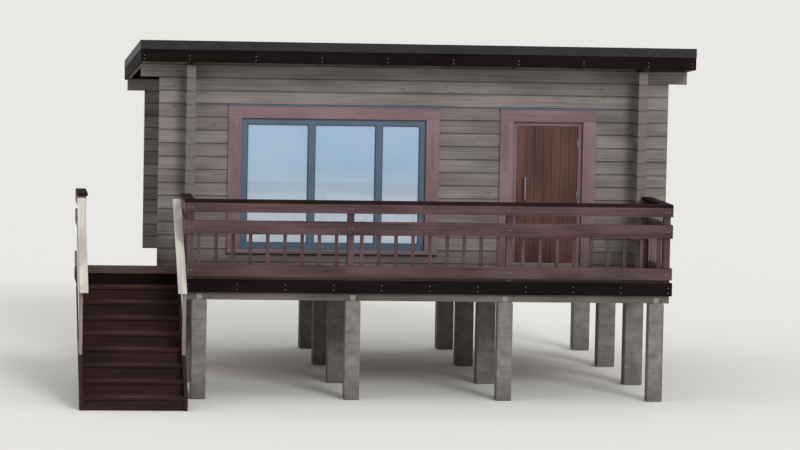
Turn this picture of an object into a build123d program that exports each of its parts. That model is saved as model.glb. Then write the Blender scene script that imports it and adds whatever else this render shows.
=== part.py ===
from build123d import *
import os

# Sauna cabin of squared logs on concrete piers, with a railed deck in front and one flight of steps.
# X runs along the front wall, Y runs from the front to the back, Z is up, in millimetres.
# The origin is on the ground under the middle of the whole building.

# Log walls
cabin_length = 6250
cabin_depth = 4600
wall_thickness = 120
log_height = 178
groove = 16
log_end = 350
front_course_count = 16
back_course_count = 14
joint_gap = 0.3

# Piers and floor of the cabin
cabin_pier_side = 250
cabin_pier_count = 4
bearer_width = 120
bearer_height = 200
floor_joist_width = 45
floor_joist_count = 9
floor_board = 38

# Deck and landing
deck_depth = 2000
deck_beyond_wall = 90
deck_below_floor = 60
landing_width = 1370
landing_depth = 950
deck_board = 28
deck_joist_width = 45
deck_joist_height = 145
deck_joist_count = 11
landing_joist_count = 3
rim_thickness = 28
deck_bearer_side = 100
deck_bearer_set_back = 30
deck_pier_side = 200
deck_pier_count = 4

# Steps
riser_count = 9
riser_height = 175
going = 290
tread_thickness = 40
tread_nosing = 25
riser_board = 20
string_thickness = 45
string_depth = 290
string_above_nosing = 30

# Railings
post_side = 90
post_chamfer = 6
post_height = 990
cap_thickness = 45
cap_width = 140
cap_chamfer = 8
rail_board = 28
top_rail_height = 120
second_rail_drop = 225
second_rail_height = 180
bottom_rail_clearance = 35
bottom_rail_height = 155
baluster_width = 45
baluster_thickness = 28
baluster_spacing = 225
stair_rail_width = 110
stair_rail_height = 45
stair_rail_below_cap = 85
stair_rail_past_post = 120
stair_middle_rail_height = 95
stair_middle_rail_drops = (300, 600)
stair_post_from_landing = 1560

# Roof
verge = 630
eaves_front = 500
eaves_back = 400
rafter_width = 45
rafter_height = 220
wall_rafter_count = 8
blocking_width = 45
roof_board = 23
roof_felt = 6
fascia_thickness = 28
edge_trim_height = 120
edge_trim_thickness = 4
edge_upstand = 38

# Window and door
window_from_left_corner = 765
pane_widths = (836, 836, 520)
frame_bar = 80
frame_depth = 80
frame_set_back = 22
glass_thickness = 24
glass_rebate = 12
window_sill_course_count = 1
lintel_course_count = 11
door_from_right_corner = 820
door_width = 960
door_frame_bar = 60
door_leaf_thickness = 45
door_gap = 4
threshold_height = 30
casing_width = 180
casing_thickness = 28
casing_sill_height = 50
casing_sill_reach = 60
casing_sill_chamfer = 15
handle_length = 300
handle_radius = 14
handle_reach = 60
handle_stay_radius = 9
handle_stay_spacing = 200
handle_from_edge = 110
handle_height = 1050

# Heights above the ground
deck_top = riser_count * riser_height
floor_top = deck_top + deck_below_floor
wall_bottom = floor_top - log_height
front_top = wall_bottom + front_course_count * log_height
back_top = wall_bottom + back_course_count * log_height
bearer_bottom = wall_bottom - bearer_height
deck_under = deck_top - deck_board
deck_bearer_top = deck_under - deck_joist_height
deck_bearer_bottom = deck_bearer_top - deck_bearer_side
cap_bottom = deck_top + post_height
cap_top = cap_bottom + cap_thickness
window_bottom = floor_top + window_sill_course_count * log_height
opening_top = floor_top + lintel_course_count * log_height

# Places along X
overall_width = landing_width + deck_beyond_wall + cabin_length + verge + edge_trim_thickness
landing_left = -overall_width / 2
deck_left = landing_left + landing_width
left_face = deck_left + deck_beyond_wall
left_inner = left_face + wall_thickness
left_axis = left_face + wall_thickness / 2
right_face = left_face + cabin_length
right_inner = right_face - wall_thickness
right_axis = right_face - wall_thickness / 2
deck_right = right_face + deck_beyond_wall
roof_left = left_face - verge
roof_right = right_face + verge
window_width = frame_bar + sum(pane_width + frame_bar for pane_width in pane_widths)
window_left = left_face + window_from_left_corner
window_right = window_left + window_width
door_right = right_face - door_from_right_corner
door_left = door_right - door_width

# Places along Y
stair_run = (riser_count - 1) * going
overall_depth = stair_run + landing_depth + cabin_depth + eaves_back + edge_trim_thickness
stair_foot = -overall_depth / 2
landing_front = stair_foot + stair_run
landing_rim = landing_front + tread_nosing
front_face = landing_front + landing_depth
front_inner = front_face + wall_thickness
front_axis = front_face + wall_thickness / 2
back_face = front_face + cabin_depth
back_inner = back_face - wall_thickness
back_axis = back_face - wall_thickness / 2
deck_front = front_face - deck_depth
roof_front = front_face - eaves_front
roof_back = back_face + eaves_back

roof_fall = (front_top - back_top) / (back_inner - front_face)
stair_pitch = riser_height / going


def save(builder, name):
    builder.part.label = name
    export_step(builder.part, f"parts/{name}.step")


def spread(first, last, count):
    # Evenly spaced places from the first to the last
    return [first + (last - first) * i / (count - 1) for i in range(count)]


def bar(x_from, x_to, y_from, y_to, z_from, z_to):
    # Squared piece between the given faces, added to the open part
    with Locations(((x_from + x_to) / 2, (y_from + y_to) / 2, (z_from + z_to) / 2)):
        Box(x_to - x_from, y_to - y_from, z_to - z_from)


def uprights(places, z, side, height):
    # Squares standing at the given places
    with Locations(*[(x, y, z) for x, y in places]):
        Box(side, side, height, align=(Align.CENTER, Align.CENTER, Align.MIN))


def rafter_seat(y):
    # Height of the plane on which the rafters lie
    return front_top - roof_fall * (y - front_face)


def nosing_line(y):
    # Height of the line through the front edges of the treads
    return riser_height + stair_pitch * (y - stair_foot)


def leaning(line, x_from, x_to, y_from, y_to, low, high, mode=Mode.ADD):
    # Piece with plumb ends between two heights above a sloping line
    with BuildSketch(Plane.YZ.offset(x_from)) as side:
        with BuildLine():
            Polyline(
                (y_from, line(y_from) + low),
                (y_to, line(y_to) + low),
                (y_to, line(y_to) + high),
                (y_from, line(y_from) + high),
                close=True,
            )
        make_face()
    extrude(side.sketch, amount=x_to - x_from, mode=mode)


def log_stack(plane, first_course, course_count, length):
    # Stack of squared logs with a V groove at each joint on both faces
    middle = (first_course + course_count / 2) * log_height
    joints = [
        (side * wall_thickness / 2, (first_course + course) * log_height)
        for course in range(course_count + 1)
        for side in (-1, 1)
    ]
    with BuildSketch(plane) as profile:
        with Locations((0, middle)):
            Rectangle(wall_thickness, course_count * log_height)
        with Locations(*joints):
            Rectangle(groove, groove, rotation=45, mode=Mode.SUBTRACT)
    extrude(profile.sketch, amount=length)


def along_x(start, axis_y):
    # Plane at the left end of a wall that runs along X
    return Plane(origin=(start, axis_y, wall_bottom), x_dir=(0, 1, 0), z_dir=(1, 0, 0))


def along_y(start, axis_x):
    # Plane at the front end of a wall that runs along Y
    return Plane(origin=(axis_x, start, wall_bottom), x_dir=(-1, 0, 0), z_dir=(0, 1, 0))


def laps(plane, crossings, first_course, course_count, upper):
    # Half-lap cuts through a wall, in the upper or the lower half of each log
    half_log = log_height / 2
    cut = half_log + joint_gap
    middle = half_log + cut / 2 if upper else half_log - cut / 2
    places = [
        (crossing, wall_bottom + (first_course + course) * log_height + middle)
        for crossing in crossings
        for course in range(course_count)
    ]
    with BuildSketch(plane) as cuts:
        with Locations(*places):
            Rectangle(wall_thickness + 2 * joint_gap, cut)
    extrude(cuts.sketch, amount=2 * wall_thickness, mode=Mode.SUBTRACT)


def cut_under_roof():
    # Takes off what stands above the plane on which the rafters lie
    above = front_top - back_top + log_height
    leaning(rafter_seat, roof_left, roof_right, roof_front, roof_back, 0, above, Mode.SUBTRACT)


os.makedirs("parts", exist_ok=True)

# Front wall: the logs keep their lower halves where the side walls cross
log_tips = left_face - log_end
tip_to_tip = cabin_length + 2 * log_end
above_lintel = lintel_course_count + 1
behind_front = Plane.XZ.offset(-front_inner)
behind_back = Plane.XZ.offset(-back_face)
side_axes = (left_axis, right_axis)
with BuildPart() as front_wall_sill_log:
    log_stack(along_x(log_tips, front_axis), 0, 1, tip_to_tip)
    laps(behind_front, side_axes, 0, 1, upper=True)
save(front_wall_sill_log, "front_wall_sill_log")

with BuildPart() as front_wall_left:
    log_stack(along_x(log_tips, front_axis), 1, lintel_course_count, window_left - log_tips)
    laps(behind_front, [left_axis], 1, lintel_course_count, upper=True)
save(front_wall_left, "front_wall_left")

with BuildPart() as front_wall_under_window:
    log_stack(along_x(window_left, front_axis), 1, window_sill_course_count, window_width)
save(front_wall_under_window, "front_wall_under_window")

with BuildPart() as front_wall_middle:
    log_stack(along_x(window_right, front_axis), 1, lintel_course_count, door_left - window_right)
save(front_wall_middle, "front_wall_middle")

with BuildPart() as front_wall_right:
    right_tip = right_face + log_end
    log_stack(along_x(door_right, front_axis), 1, lintel_course_count, right_tip - door_right)
    laps(behind_front, [right_axis], 1, lintel_course_count, upper=True)
save(front_wall_right, "front_wall_right")

with BuildPart() as front_wall_top:
    course_count = front_course_count - above_lintel - 1
    log_stack(along_x(log_tips, front_axis), above_lintel, course_count, tip_to_tip)
    laps(behind_front, side_axes, above_lintel, course_count, upper=True)
save(front_wall_top, "front_wall_top")

with BuildPart() as back_wall:
    log_stack(along_x(log_tips, back_axis), 0, back_course_count - 1, tip_to_tip)
    laps(behind_back, side_axes, 0, back_course_count - 1, upper=True)
save(back_wall, "back_wall")

# The topmost log of the front and back walls reaches out to the roof's edge and carries it
plate_reach = verge - fascia_thickness
with BuildPart() as plate_logs:
    for axis_y, behind, course in (
        (front_axis, behind_front, front_course_count - 1),
        (back_axis, behind_back, back_course_count - 1),
    ):
        plate_start = along_x(left_face - plate_reach, axis_y)
        log_stack(plate_start, course, 1, cabin_length + 2 * plate_reach)
        laps(behind, side_axes, course, 1, upper=True)
    cut_under_roof()
save(plate_logs, "plate_logs")

# Side walls: the logs keep their upper halves at the corners
for name, axis_x in (("left_wall", left_axis), ("right_wall", right_axis)):
    with BuildPart() as side_wall:
        beside = Plane.YZ.offset(axis_x - wall_thickness)
        # The lowest log ends flush where the deck meets it
        log_stack(along_y(front_face, axis_x), 0, 1, cabin_depth + log_end)
        log_stack(
            along_y(front_face - log_end, axis_x),
            1,
            front_course_count - 1,
            cabin_depth + 2 * log_end,
        )
        laps(beside, (front_axis, back_axis), 0, front_course_count, upper=False)
        cut_under_roof()
    save(side_wall, name)

# Floor of the cabin on three bearers
bearer_rows = spread(front_axis, back_axis, 3)
bearer_reach = bearer_width / 2
with BuildPart() as cabin_bearers:
    for bearer_y in bearer_rows:
        bar(
            left_axis - bearer_reach,
            right_axis + bearer_reach,
            bearer_y - bearer_reach,
            bearer_y + bearer_reach,
            bearer_bottom,
            wall_bottom,
        )
save(cabin_bearers, "cabin_bearers")

half_floor_joist = floor_joist_width / 2
with BuildPart() as floor_joists:
    for joist_x in spread(
        left_inner + half_floor_joist + joint_gap,
        right_inner - half_floor_joist - joint_gap,
        floor_joist_count,
    ):
        bar(
            joist_x - half_floor_joist,
            joist_x + half_floor_joist,
            front_inner + joint_gap,
            back_inner - joint_gap,
            wall_bottom,
            floor_top - floor_board,
        )
save(floor_joists, "floor_joists")

with BuildPart() as floor_boards:
    bar(
        left_inner + joint_gap,
        right_inner - joint_gap,
        front_inner + joint_gap,
        back_inner - joint_gap,
        floor_top - floor_board,
        floor_top,
    )
save(floor_boards, "floor_boards")

# Roof: rafters with plumb cut ends on the two long walls, blocking, boards, felt and edges
rafter_front = roof_front + fascia_thickness
rafter_back = roof_back - fascia_thickness
half_rafter = rafter_width / 2
wall_rafters = spread(left_face + half_rafter, right_face - half_rafter, wall_rafter_count)
verge_rafters = [
    roof_left + fascia_thickness + half_rafter,
    roof_right - fascia_thickness - half_rafter,
]
with BuildPart() as rafters:
    for rafter_x in wall_rafters + verge_rafters:
        leaning(
            rafter_seat,
            rafter_x - half_rafter,
            rafter_x + half_rafter,
            rafter_front,
            rafter_back,
            0,
            rafter_height,
        )
save(rafters, "rafters")

with BuildPart() as eaves_blocking:
    for block_y in (front_face, back_inner):
        for left_rafter, right_rafter in zip(wall_rafters, wall_rafters[1:]):
            leaning(
                rafter_seat,
                left_rafter + half_rafter + joint_gap,
                right_rafter - half_rafter - joint_gap,
                block_y,
                block_y + blocking_width,
                0,
                rafter_height,
            )
save(eaves_blocking, "eaves_blocking")

board_top = rafter_height + roof_board
felt_top = board_top + roof_felt
with BuildPart() as roof_boards:
    leaning(rafter_seat, roof_left, roof_right, roof_front, roof_back, rafter_height, board_top)
save(roof_boards, "roof_boards")

with BuildPart() as roof_felt_sheet:
    leaning(rafter_seat, roof_left, roof_right, roof_front, roof_back, board_top, felt_top)
save(roof_felt_sheet, "roof_felt")

with BuildPart() as eaves_fascias:
    for y_from, y_to in ((roof_front, rafter_front), (rafter_back, roof_back)):
        leaning(rafter_seat, roof_left, roof_right, y_from, y_to, 0, rafter_height)
save(eaves_fascias, "eaves_fascias")

with BuildPart() as verge_boards:
    for x_from, x_to in (
        (roof_left, roof_left + fascia_thickness),
        (roof_right - fascia_thickness, roof_right),
    ):
        leaning(rafter_seat, x_from, x_to, rafter_front, rafter_back, 0, rafter_height)
save(verge_boards, "verge_boards")

# Metal strips that stand up round the felt and cover the top of the fascias
trim_high = felt_top + edge_upstand
trim_low = trim_high - edge_trim_height
trim_left = roof_left - edge_trim_thickness
trim_right = roof_right + edge_trim_thickness
trim_front = roof_front + joint_gap
trim_back = roof_back - joint_gap
with BuildPart() as roof_edge_trim:
    for y_from in (roof_front - edge_trim_thickness, roof_back):
        y_to = y_from + edge_trim_thickness
        leaning(rafter_seat, trim_left, trim_right, y_from, y_to, trim_low, trim_high)
    for x_from in (trim_left, roof_right):
        x_to = x_from + edge_trim_thickness
        leaning(rafter_seat, x_from, x_to, trim_front, trim_back, trim_low, trim_high)
save(roof_edge_trim, "roof_edge_trim")

# Window of three panes, each a sealed unit let into a rebate of the frame
frame_front = front_face + frame_set_back
frame_back = frame_front + frame_depth
frame_middle = frame_front + frame_depth / 2
pane_height = opening_top - window_bottom - 2 * frame_bar
pane_middle_z = (window_bottom + opening_top) / 2
panes = []
pane_left = window_left + frame_bar
for pane_width in pane_widths:
    panes.append((pane_left + pane_width / 2, pane_width))
    pane_left += pane_width + frame_bar


def pane_unit(pane_x, pane_width, mode=Mode.ADD):
    # Glass unit with its edges in the rebate
    with Locations((pane_x, frame_middle, pane_middle_z)):
        Box(
            pane_width + 2 * glass_rebate,
            glass_thickness,
            pane_height + 2 * glass_rebate,
            mode=mode,
        )


with BuildPart() as window_frame:
    bar(window_left, window_right, frame_front, frame_back, window_bottom, opening_top)
    for pane_x, pane_width in panes:
        with Locations((pane_x, frame_middle, pane_middle_z)):
            Box(pane_width, frame_depth, pane_height, mode=Mode.SUBTRACT)
        pane_unit(pane_x, pane_width, Mode.SUBTRACT)
save(window_frame, "window_frame")

with BuildPart() as window_glass:
    for pane_x, pane_width in panes:
        pane_unit(pane_x, pane_width)
save(window_glass, "window_glass")

casing_front = front_face - casing_thickness


def casing(opening_left, opening_right, bottom):
    # Side boards and a head board round an opening, on the outer face of the wall
    outer_left = opening_left - casing_width
    outer_right = opening_right + casing_width
    side_top = opening_top - joint_gap
    head_top = opening_top + casing_width
    bar(outer_left, opening_left, casing_front, front_face, bottom, side_top)
    bar(opening_right, outer_right, casing_front, front_face, bottom, side_top)
    bar(outer_left, outer_right, casing_front, front_face, opening_top, head_top)


# The sill board under the window has its upper front edge taken off, to shed water
with BuildPart() as window_trim:
    bar(
        window_left - casing_width,
        window_right + casing_width,
        front_face - casing_sill_reach,
        front_face,
        window_bottom - casing_sill_height,
        window_bottom - joint_gap,
    )
    front_edges = window_trim.edges().filter_by(Axis.X).group_by(Axis.Y)[0]
    chamfer(front_edges.sort_by(Axis.Z)[-1], casing_sill_chamfer)
    casing(window_left, window_right, window_bottom)
save(window_trim, "window_trim")

with BuildPart() as door_trim:
    casing(door_left, door_right, deck_top + joint_gap)
save(door_trim, "door_trim")

# Door on the right, shut
leaf_top = opening_top - door_frame_bar - door_gap
leaf_left = door_left + door_frame_bar + door_gap
leaf_right = door_right - door_frame_bar - door_gap
leaf_bottom = floor_top + threshold_height
with BuildPart() as door_frame:
    bar(door_left, door_right, frame_front, frame_back, floor_top, opening_top)
    with Locations(((door_left + door_right) / 2, frame_middle, leaf_bottom)):
        Box(
            door_width - 2 * door_frame_bar,
            frame_depth,
            opening_top - door_frame_bar - leaf_bottom,
            align=(Align.CENTER, Align.CENTER, Align.MIN),
            mode=Mode.SUBTRACT,
        )
save(door_frame, "door_frame")

with BuildPart() as front_door:
    leaf_back = frame_front + door_leaf_thickness
    bar(leaf_left, leaf_right, frame_front, leaf_back, leaf_bottom, leaf_top)
save(front_door, "front_door")

with BuildPart() as door_handle:
    grip_x = leaf_left + handle_from_edge
    grip_z = floor_top + handle_height
    with Locations((grip_x, frame_front - handle_reach, grip_z)):
        Cylinder(handle_radius, handle_length)
    with BuildSketch(Plane.XZ.offset(-frame_front)) as stays:
        with Locations((grip_x, grip_z)):
            with GridLocations(0, handle_stay_spacing, 1, 2):
                Circle(handle_stay_radius)
    extrude(stays.sketch, amount=handle_reach)
save(door_handle, "door_handle")

# Deck and landing on bearers, with a ledger on the lowest log of the front wall
half_bearer = deck_bearer_side / 2
deck_bearer_y = deck_front + rim_thickness + deck_bearer_set_back + half_bearer
landing_bearer_rows = (
    landing_rim + rim_thickness + deck_bearer_set_back + half_bearer,
    front_face - half_bearer,
)
bearer_runs = [(deck_left + rim_thickness, deck_right - rim_thickness, deck_bearer_y)]
bearer_runs += [(landing_left + rim_thickness, deck_left, y) for y in landing_bearer_rows]
with BuildPart() as deck_bearers:
    for x_from, x_to, bearer_y in bearer_runs:
        bar(
            x_from,
            x_to,
            bearer_y - half_bearer,
            bearer_y + half_bearer,
            deck_bearer_bottom,
            deck_bearer_top,
        )
    ledger_front = front_face - deck_joist_width
    ledger_left = deck_left + rim_thickness + joint_gap
    ledger_right = deck_right - rim_thickness - joint_gap
    bar(ledger_left, ledger_right, ledger_front, front_face, deck_bearer_top, deck_under)
save(deck_bearers, "deck_bearers")

half_joist = deck_joist_width / 2
rim_back = front_face - rim_thickness
deck_joists_x = spread(ledger_left + half_joist, ledger_right - half_joist, deck_joist_count)
landing_joists_x = spread(
    landing_left + rim_thickness + half_joist + joint_gap,
    deck_left - half_joist - joint_gap,
    landing_joist_count,
)
joist_runs = [(x, deck_front + rim_thickness, ledger_front - joint_gap) for x in deck_joists_x]
joist_runs += [(x, landing_rim + rim_thickness, rim_back - joint_gap) for x in landing_joists_x]
with BuildPart() as deck_joists:
    for joist_x, y_from, y_to in joist_runs:
        x_from = joist_x - half_joist
        bar(x_from, x_from + deck_joist_width, y_from, y_to, deck_bearer_top, deck_under)
save(deck_joists, "deck_joists")

# Rim boards: the one along the deck's front also covers the ends of the boards
with BuildPart() as deck_rim_boards:
    bar(deck_left, deck_right, deck_front, deck_front + rim_thickness, deck_bearer_top, deck_top)
    for x_from, rim_front, y_to in (
        (deck_left, deck_front, front_face),
        (deck_right - rim_thickness, deck_front, front_face),
        (landing_left, landing_rim, rim_back),
    ):
        y_from = rim_front + rim_thickness + joint_gap
        x_to = x_from + rim_thickness
        bar(x_from, x_to, y_from, y_to - joint_gap, deck_bearer_top, deck_under)
    for y_from in (landing_rim, rim_back):
        y_to = y_from + rim_thickness
        bar(landing_left, deck_left - joint_gap, y_from, y_to, deck_bearer_top, deck_under)
save(deck_rim_boards, "deck_rim_boards")

with BuildPart() as deck_floor:
    floor_back = front_face - joint_gap
    bar(deck_left, deck_right, deck_front + rim_thickness, floor_back, deck_under, deck_top)
    landing_right = deck_left - joint_gap
    bar(landing_left, landing_right, landing_front, floor_back, deck_under, deck_top)
save(deck_floor, "deck_floor")

# Concrete piers under the bearers of the cabin, the deck and the landing
cabin_piers_x = spread(left_axis, right_axis, cabin_pier_count)
deck_piers_x = spread(deck_left + deck_pier_side, deck_right - deck_pier_side, deck_pier_count)
landing_piers_x = (landing_left + deck_pier_side, deck_left - deck_pier_side)
with BuildPart() as concrete_piers:
    cabin_places = [(x, y) for x in cabin_piers_x for y in bearer_rows]
    uprights(cabin_places, 0, cabin_pier_side, bearer_bottom)
    deck_places = [(x, deck_bearer_y) for x in deck_piers_x]
    deck_places += [(x, y) for x in landing_piers_x for y in landing_bearer_rows]
    uprights(deck_places, 0, deck_pier_side, deck_bearer_bottom)
save(concrete_piers, "concrete_piers")

# Railing posts, inside the boards of the railings
half_post = post_side / 2
rail_inner = deck_front + rim_thickness + rail_board
front_post_y = rail_inner + half_post
left_post_x = deck_left + rail_board + half_post
right_post_x = deck_right - rail_board - half_post
landing_post_x = landing_left + rail_board + half_post
landing_post_y = landing_front + rail_board + half_post
landing_end_y = front_face - half_post
wall_post_y = front_face - log_end - half_post
front_posts_x = spread(left_post_x, right_post_x, deck_pier_count)
front_places = [(x, front_post_y) for x in front_posts_x]
left_places = [(left_post_x, front_post_y), (left_post_x, landing_post_y)]
right_places = [(right_post_x, front_post_y), (right_post_x, wall_post_y)]
landing_places = [(landing_post_x, landing_post_y), (landing_post_x, landing_end_y)]
with BuildPart() as railing_posts:
    uprights(
        front_places + left_places[1:] + right_places[1:] + landing_places,
        deck_top,
        post_side,
        post_height,
    )
    chamfer(railing_posts.edges().filter_by(Axis.Z), post_chamfer)
save(railing_posts, "railing_posts")


def railing_panel(plane, length):
    # Three rails on the outer side of the posts, with balusters behind the lower two
    second_rail_top = post_height - second_rail_drop
    with BuildSketch(plane) as rails:
        for rail_top, rail_height in (
            (post_height, top_rail_height),
            (second_rail_top, second_rail_height),
            (bottom_rail_clearance + bottom_rail_height, bottom_rail_height),
        ):
            with Locations((length / 2, rail_top - rail_height / 2)):
                Rectangle(length, rail_height)
    extrude(rails.sketch, amount=rail_board)
    baluster_count = int(length / baluster_spacing)
    baluster_height = second_rail_top - bottom_rail_clearance
    with BuildSketch(plane) as balusters:
        with Locations((length / 2, bottom_rail_clearance + baluster_height / 2)):
            with GridLocations(baluster_spacing, 0, baluster_count, 1):
                Rectangle(baluster_width, baluster_height)
    extrude(balusters.sketch, amount=-baluster_thickness)


def clear_posts(places, gap_x, gap_y):
    # Takes off balusters where they would stand in a post
    with Locations(*[(x, y, deck_top) for x, y in places]):
        Box(
            post_side + 2 * gap_x,
            post_side + 2 * gap_y,
            post_height,
            align=(Align.CENTER, Align.CENTER, Align.MIN),
            mode=Mode.SUBTRACT,
        )


panel_names = ("front_railing_left", "front_railing_middle", "front_railing_right")
panel_ends = [deck_left] + front_posts_x[1:-1] + [deck_right]
for name, x_from, x_to in zip(panel_names, panel_ends, panel_ends[1:]):
    with BuildPart() as front_railing:
        corner = (x_from + joint_gap, rail_inner, deck_top)
        railing_panel(
            Plane(origin=corner, x_dir=(1, 0, 0), z_dir=(0, -1, 0)),
            x_to - x_from - 2 * joint_gap,
        )
        clear_posts(front_places, joint_gap, 0)
    save(front_railing, name)

with BuildPart() as deck_left_railing:
    panel_end = landing_post_y + half_post
    corner = (deck_left + rail_board, panel_end, deck_top)
    railing_panel(
        Plane(origin=corner, x_dir=(0, -1, 0), z_dir=(-1, 0, 0)),
        panel_end - rail_inner - joint_gap,
    )
    clear_posts(left_places, 0, joint_gap)
save(deck_left_railing, "deck_left_railing")

with BuildPart() as deck_right_railing:
    corner = (deck_right - rail_board, rail_inner + joint_gap, deck_top)
    railing_panel(
        Plane(origin=corner, x_dir=(0, 1, 0), z_dir=(1, 0, 0)),
        wall_post_y + half_post - rail_inner - joint_gap,
    )
    clear_posts(right_places, 0, joint_gap)
save(deck_right_railing, "deck_right_railing")

with BuildPart() as landing_railing:
    corner = (landing_left + rail_board, front_face, deck_top)
    railing_panel(
        Plane(origin=corner, x_dir=(0, -1, 0), z_dir=(-1, 0, 0)),
        front_face - landing_post_y + half_post,
    )
    clear_posts(landing_places, 0, joint_gap)
save(landing_railing, "landing_railing")

# Cap boards along the tops of the railings, with their upper edges taken off
with BuildPart() as deck_handrails:
    cap_front = deck_front + rim_thickness
    side_cap_front = cap_front + cap_width + joint_gap
    for x_from, x_to, y_from, y_to in (
        (deck_left, deck_right, cap_front, cap_front + cap_width),
        (deck_left, deck_left + cap_width, side_cap_front, landing_post_y + half_post),
        (deck_right - cap_width, deck_right, side_cap_front, wall_post_y + half_post),
        (landing_left, landing_left + cap_width, landing_post_y - half_post, front_face),
    ):
        bar(x_from, x_to, y_from, y_to, cap_bottom, cap_top)
    chamfer(deck_handrails.edges().group_by(Axis.Z)[-1], cap_chamfer)
save(deck_handrails, "deck_handrails")

# Steps: two closed strings with treads and risers between them
string_left = landing_left
string_right = deck_left - string_thickness
tread_left = string_left + string_thickness
with BuildPart() as stair_strings:
    for string_x in (string_left, string_right):
        with BuildSketch(Plane.YZ.offset(string_x)) as string_side:
            with BuildLine():
                Polyline(
                    (stair_foot, 0),
                    (stair_foot + (string_depth - riser_height) / stair_pitch, 0),
                    (landing_rim, nosing_line(landing_rim) - string_depth),
                    (landing_rim, deck_under),
                    (landing_front - (deck_board + string_above_nosing) / stair_pitch, deck_under),
                    (stair_foot, riser_height + string_above_nosing),
                    close=True,
                )
            make_face()
        extrude(string_side.sketch, amount=string_thickness)
save(stair_strings, "stair_strings")

with BuildPart() as stair_treads:
    tread_depth = going + tread_nosing - joint_gap
    for step in range(1, riser_count):
        tread_top = step * riser_height
        tread_front = stair_foot + (step - 1) * going
        tread_back = tread_front + tread_depth
        tread_bottom = tread_top - tread_thickness
        bar(tread_left, string_right, tread_front, tread_back, tread_bottom, tread_top)
save(stair_treads, "stair_treads")

with BuildPart() as stair_risers:
    for step in range(riser_count - 1):
        y_from = stair_foot + tread_nosing + step * going
        z_from = step * riser_height
        z_to = z_from + riser_height - tread_thickness
        bar(tread_left, string_right, y_from, y_from + riser_board, z_from, z_to)
save(stair_risers, "stair_risers")

# Rails of the steps, over the upper part of the flight only
lower_post_y = landing_front - stair_post_from_landing
rail_upper_end = landing_post_y - half_post - joint_gap
rail_lower_end = lower_post_y - half_post - stair_rail_past_post
stair_rail_top = post_height + cap_thickness - stair_rail_below_cap
stair_rail_under = stair_rail_top - stair_rail_height
with BuildPart() as stair_posts:
    for x_from in (string_left, string_right):
        leaning(
            nosing_line,
            x_from,
            x_from + string_thickness,
            lower_post_y - half_post,
            lower_post_y + half_post,
            string_above_nosing,
            stair_rail_under,
        )
save(stair_posts, "stair_posts")

with BuildPart() as stair_rails:
    for x_from in (landing_left, deck_left - stair_rail_width):
        leaning(
            nosing_line,
            x_from,
            x_from + stair_rail_width,
            rail_lower_end,
            rail_upper_end,
            stair_rail_under,
            stair_rail_top,
        )
    for x_from in (landing_left, deck_left - rail_board):
        for drop in stair_middle_rail_drops:
            leaning(
                nosing_line,
                x_from,
                x_from + rail_board,
                lower_post_y + half_post + joint_gap,
                rail_upper_end,
                stair_rail_top - drop - stair_middle_rail_height,
                stair_rail_top - drop,
            )
save(stair_rails, "stair_rails")
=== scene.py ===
# %% [markdown]
# # Dressing a log cabin for its picture
#
# The cabin, its deck, railings and steps come from a CAD model with true sizes, which stays fixed
# here. Every node gets a material worked out from what the real thing is made of, and the plain
# sheets that stand for boarded surfaces are swapped for separate boards. Everything is in metres:
# X runs along the front wall, Y from the front to the back and Z up.

# %% Load the fixed frame
import math
import random

import bmesh
import bpy
from mathutils import Matrix, Vector


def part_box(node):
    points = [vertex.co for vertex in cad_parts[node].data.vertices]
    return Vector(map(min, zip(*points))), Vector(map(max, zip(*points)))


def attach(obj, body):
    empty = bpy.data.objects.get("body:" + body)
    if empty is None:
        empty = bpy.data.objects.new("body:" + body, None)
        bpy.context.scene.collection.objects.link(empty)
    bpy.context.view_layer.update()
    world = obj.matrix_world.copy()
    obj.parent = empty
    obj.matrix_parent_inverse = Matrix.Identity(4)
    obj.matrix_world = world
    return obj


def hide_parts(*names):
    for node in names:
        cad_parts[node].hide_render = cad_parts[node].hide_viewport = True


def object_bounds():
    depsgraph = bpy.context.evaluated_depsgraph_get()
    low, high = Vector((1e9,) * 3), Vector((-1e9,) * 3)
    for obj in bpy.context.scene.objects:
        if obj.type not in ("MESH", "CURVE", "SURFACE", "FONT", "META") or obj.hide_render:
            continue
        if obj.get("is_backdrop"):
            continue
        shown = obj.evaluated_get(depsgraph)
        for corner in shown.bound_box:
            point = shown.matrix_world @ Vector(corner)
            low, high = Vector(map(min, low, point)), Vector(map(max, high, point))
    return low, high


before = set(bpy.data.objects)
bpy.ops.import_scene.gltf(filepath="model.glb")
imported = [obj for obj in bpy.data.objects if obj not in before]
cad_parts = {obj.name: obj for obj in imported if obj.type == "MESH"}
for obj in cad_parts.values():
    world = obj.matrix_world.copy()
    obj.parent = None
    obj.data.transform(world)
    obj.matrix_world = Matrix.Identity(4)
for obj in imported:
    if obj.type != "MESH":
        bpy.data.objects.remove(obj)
cad_low, cad_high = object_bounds()
print("the frame measures", [round(side, 3) for side in cad_high - cad_low], "metres over all")

# %% [markdown]
# ## Places to build from
#
# A carpenter takes dimensions off the building rather than from memory. The boxes of the CAD
# nodes give every line that the new boards follow, so they could be typed as numbers, but read
# this way they stay right if the model is ever made a little wider or longer.

# %% Read the lines of the deck, the walls and the roof
floor_low, floor_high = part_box("deck_floor")
rim_low, rim_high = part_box("deck_rim_boards")
sill_low, sill_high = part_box("front_wall_sill_log")
rail_board = 0.028
log_height = sill_high.z - sill_low.z
wall_bottom = sill_low.z
wall_thickness = sill_high.y - sill_low.y
front_face = sill_low.y
back_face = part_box("back_wall")[1].y
left_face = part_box("left_wall")[0].x
right_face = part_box("right_wall")[1].x
deck_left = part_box("deck_left_railing")[0].x
deck_right = rim_high.x
deck_top = floor_high.z
landing_left = floor_low.x
landing_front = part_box("landing_railing")[0].y - rail_board
print("one log is", round(log_height, 3), "high and the deck is", round(deck_top, 3), "up")

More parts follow.
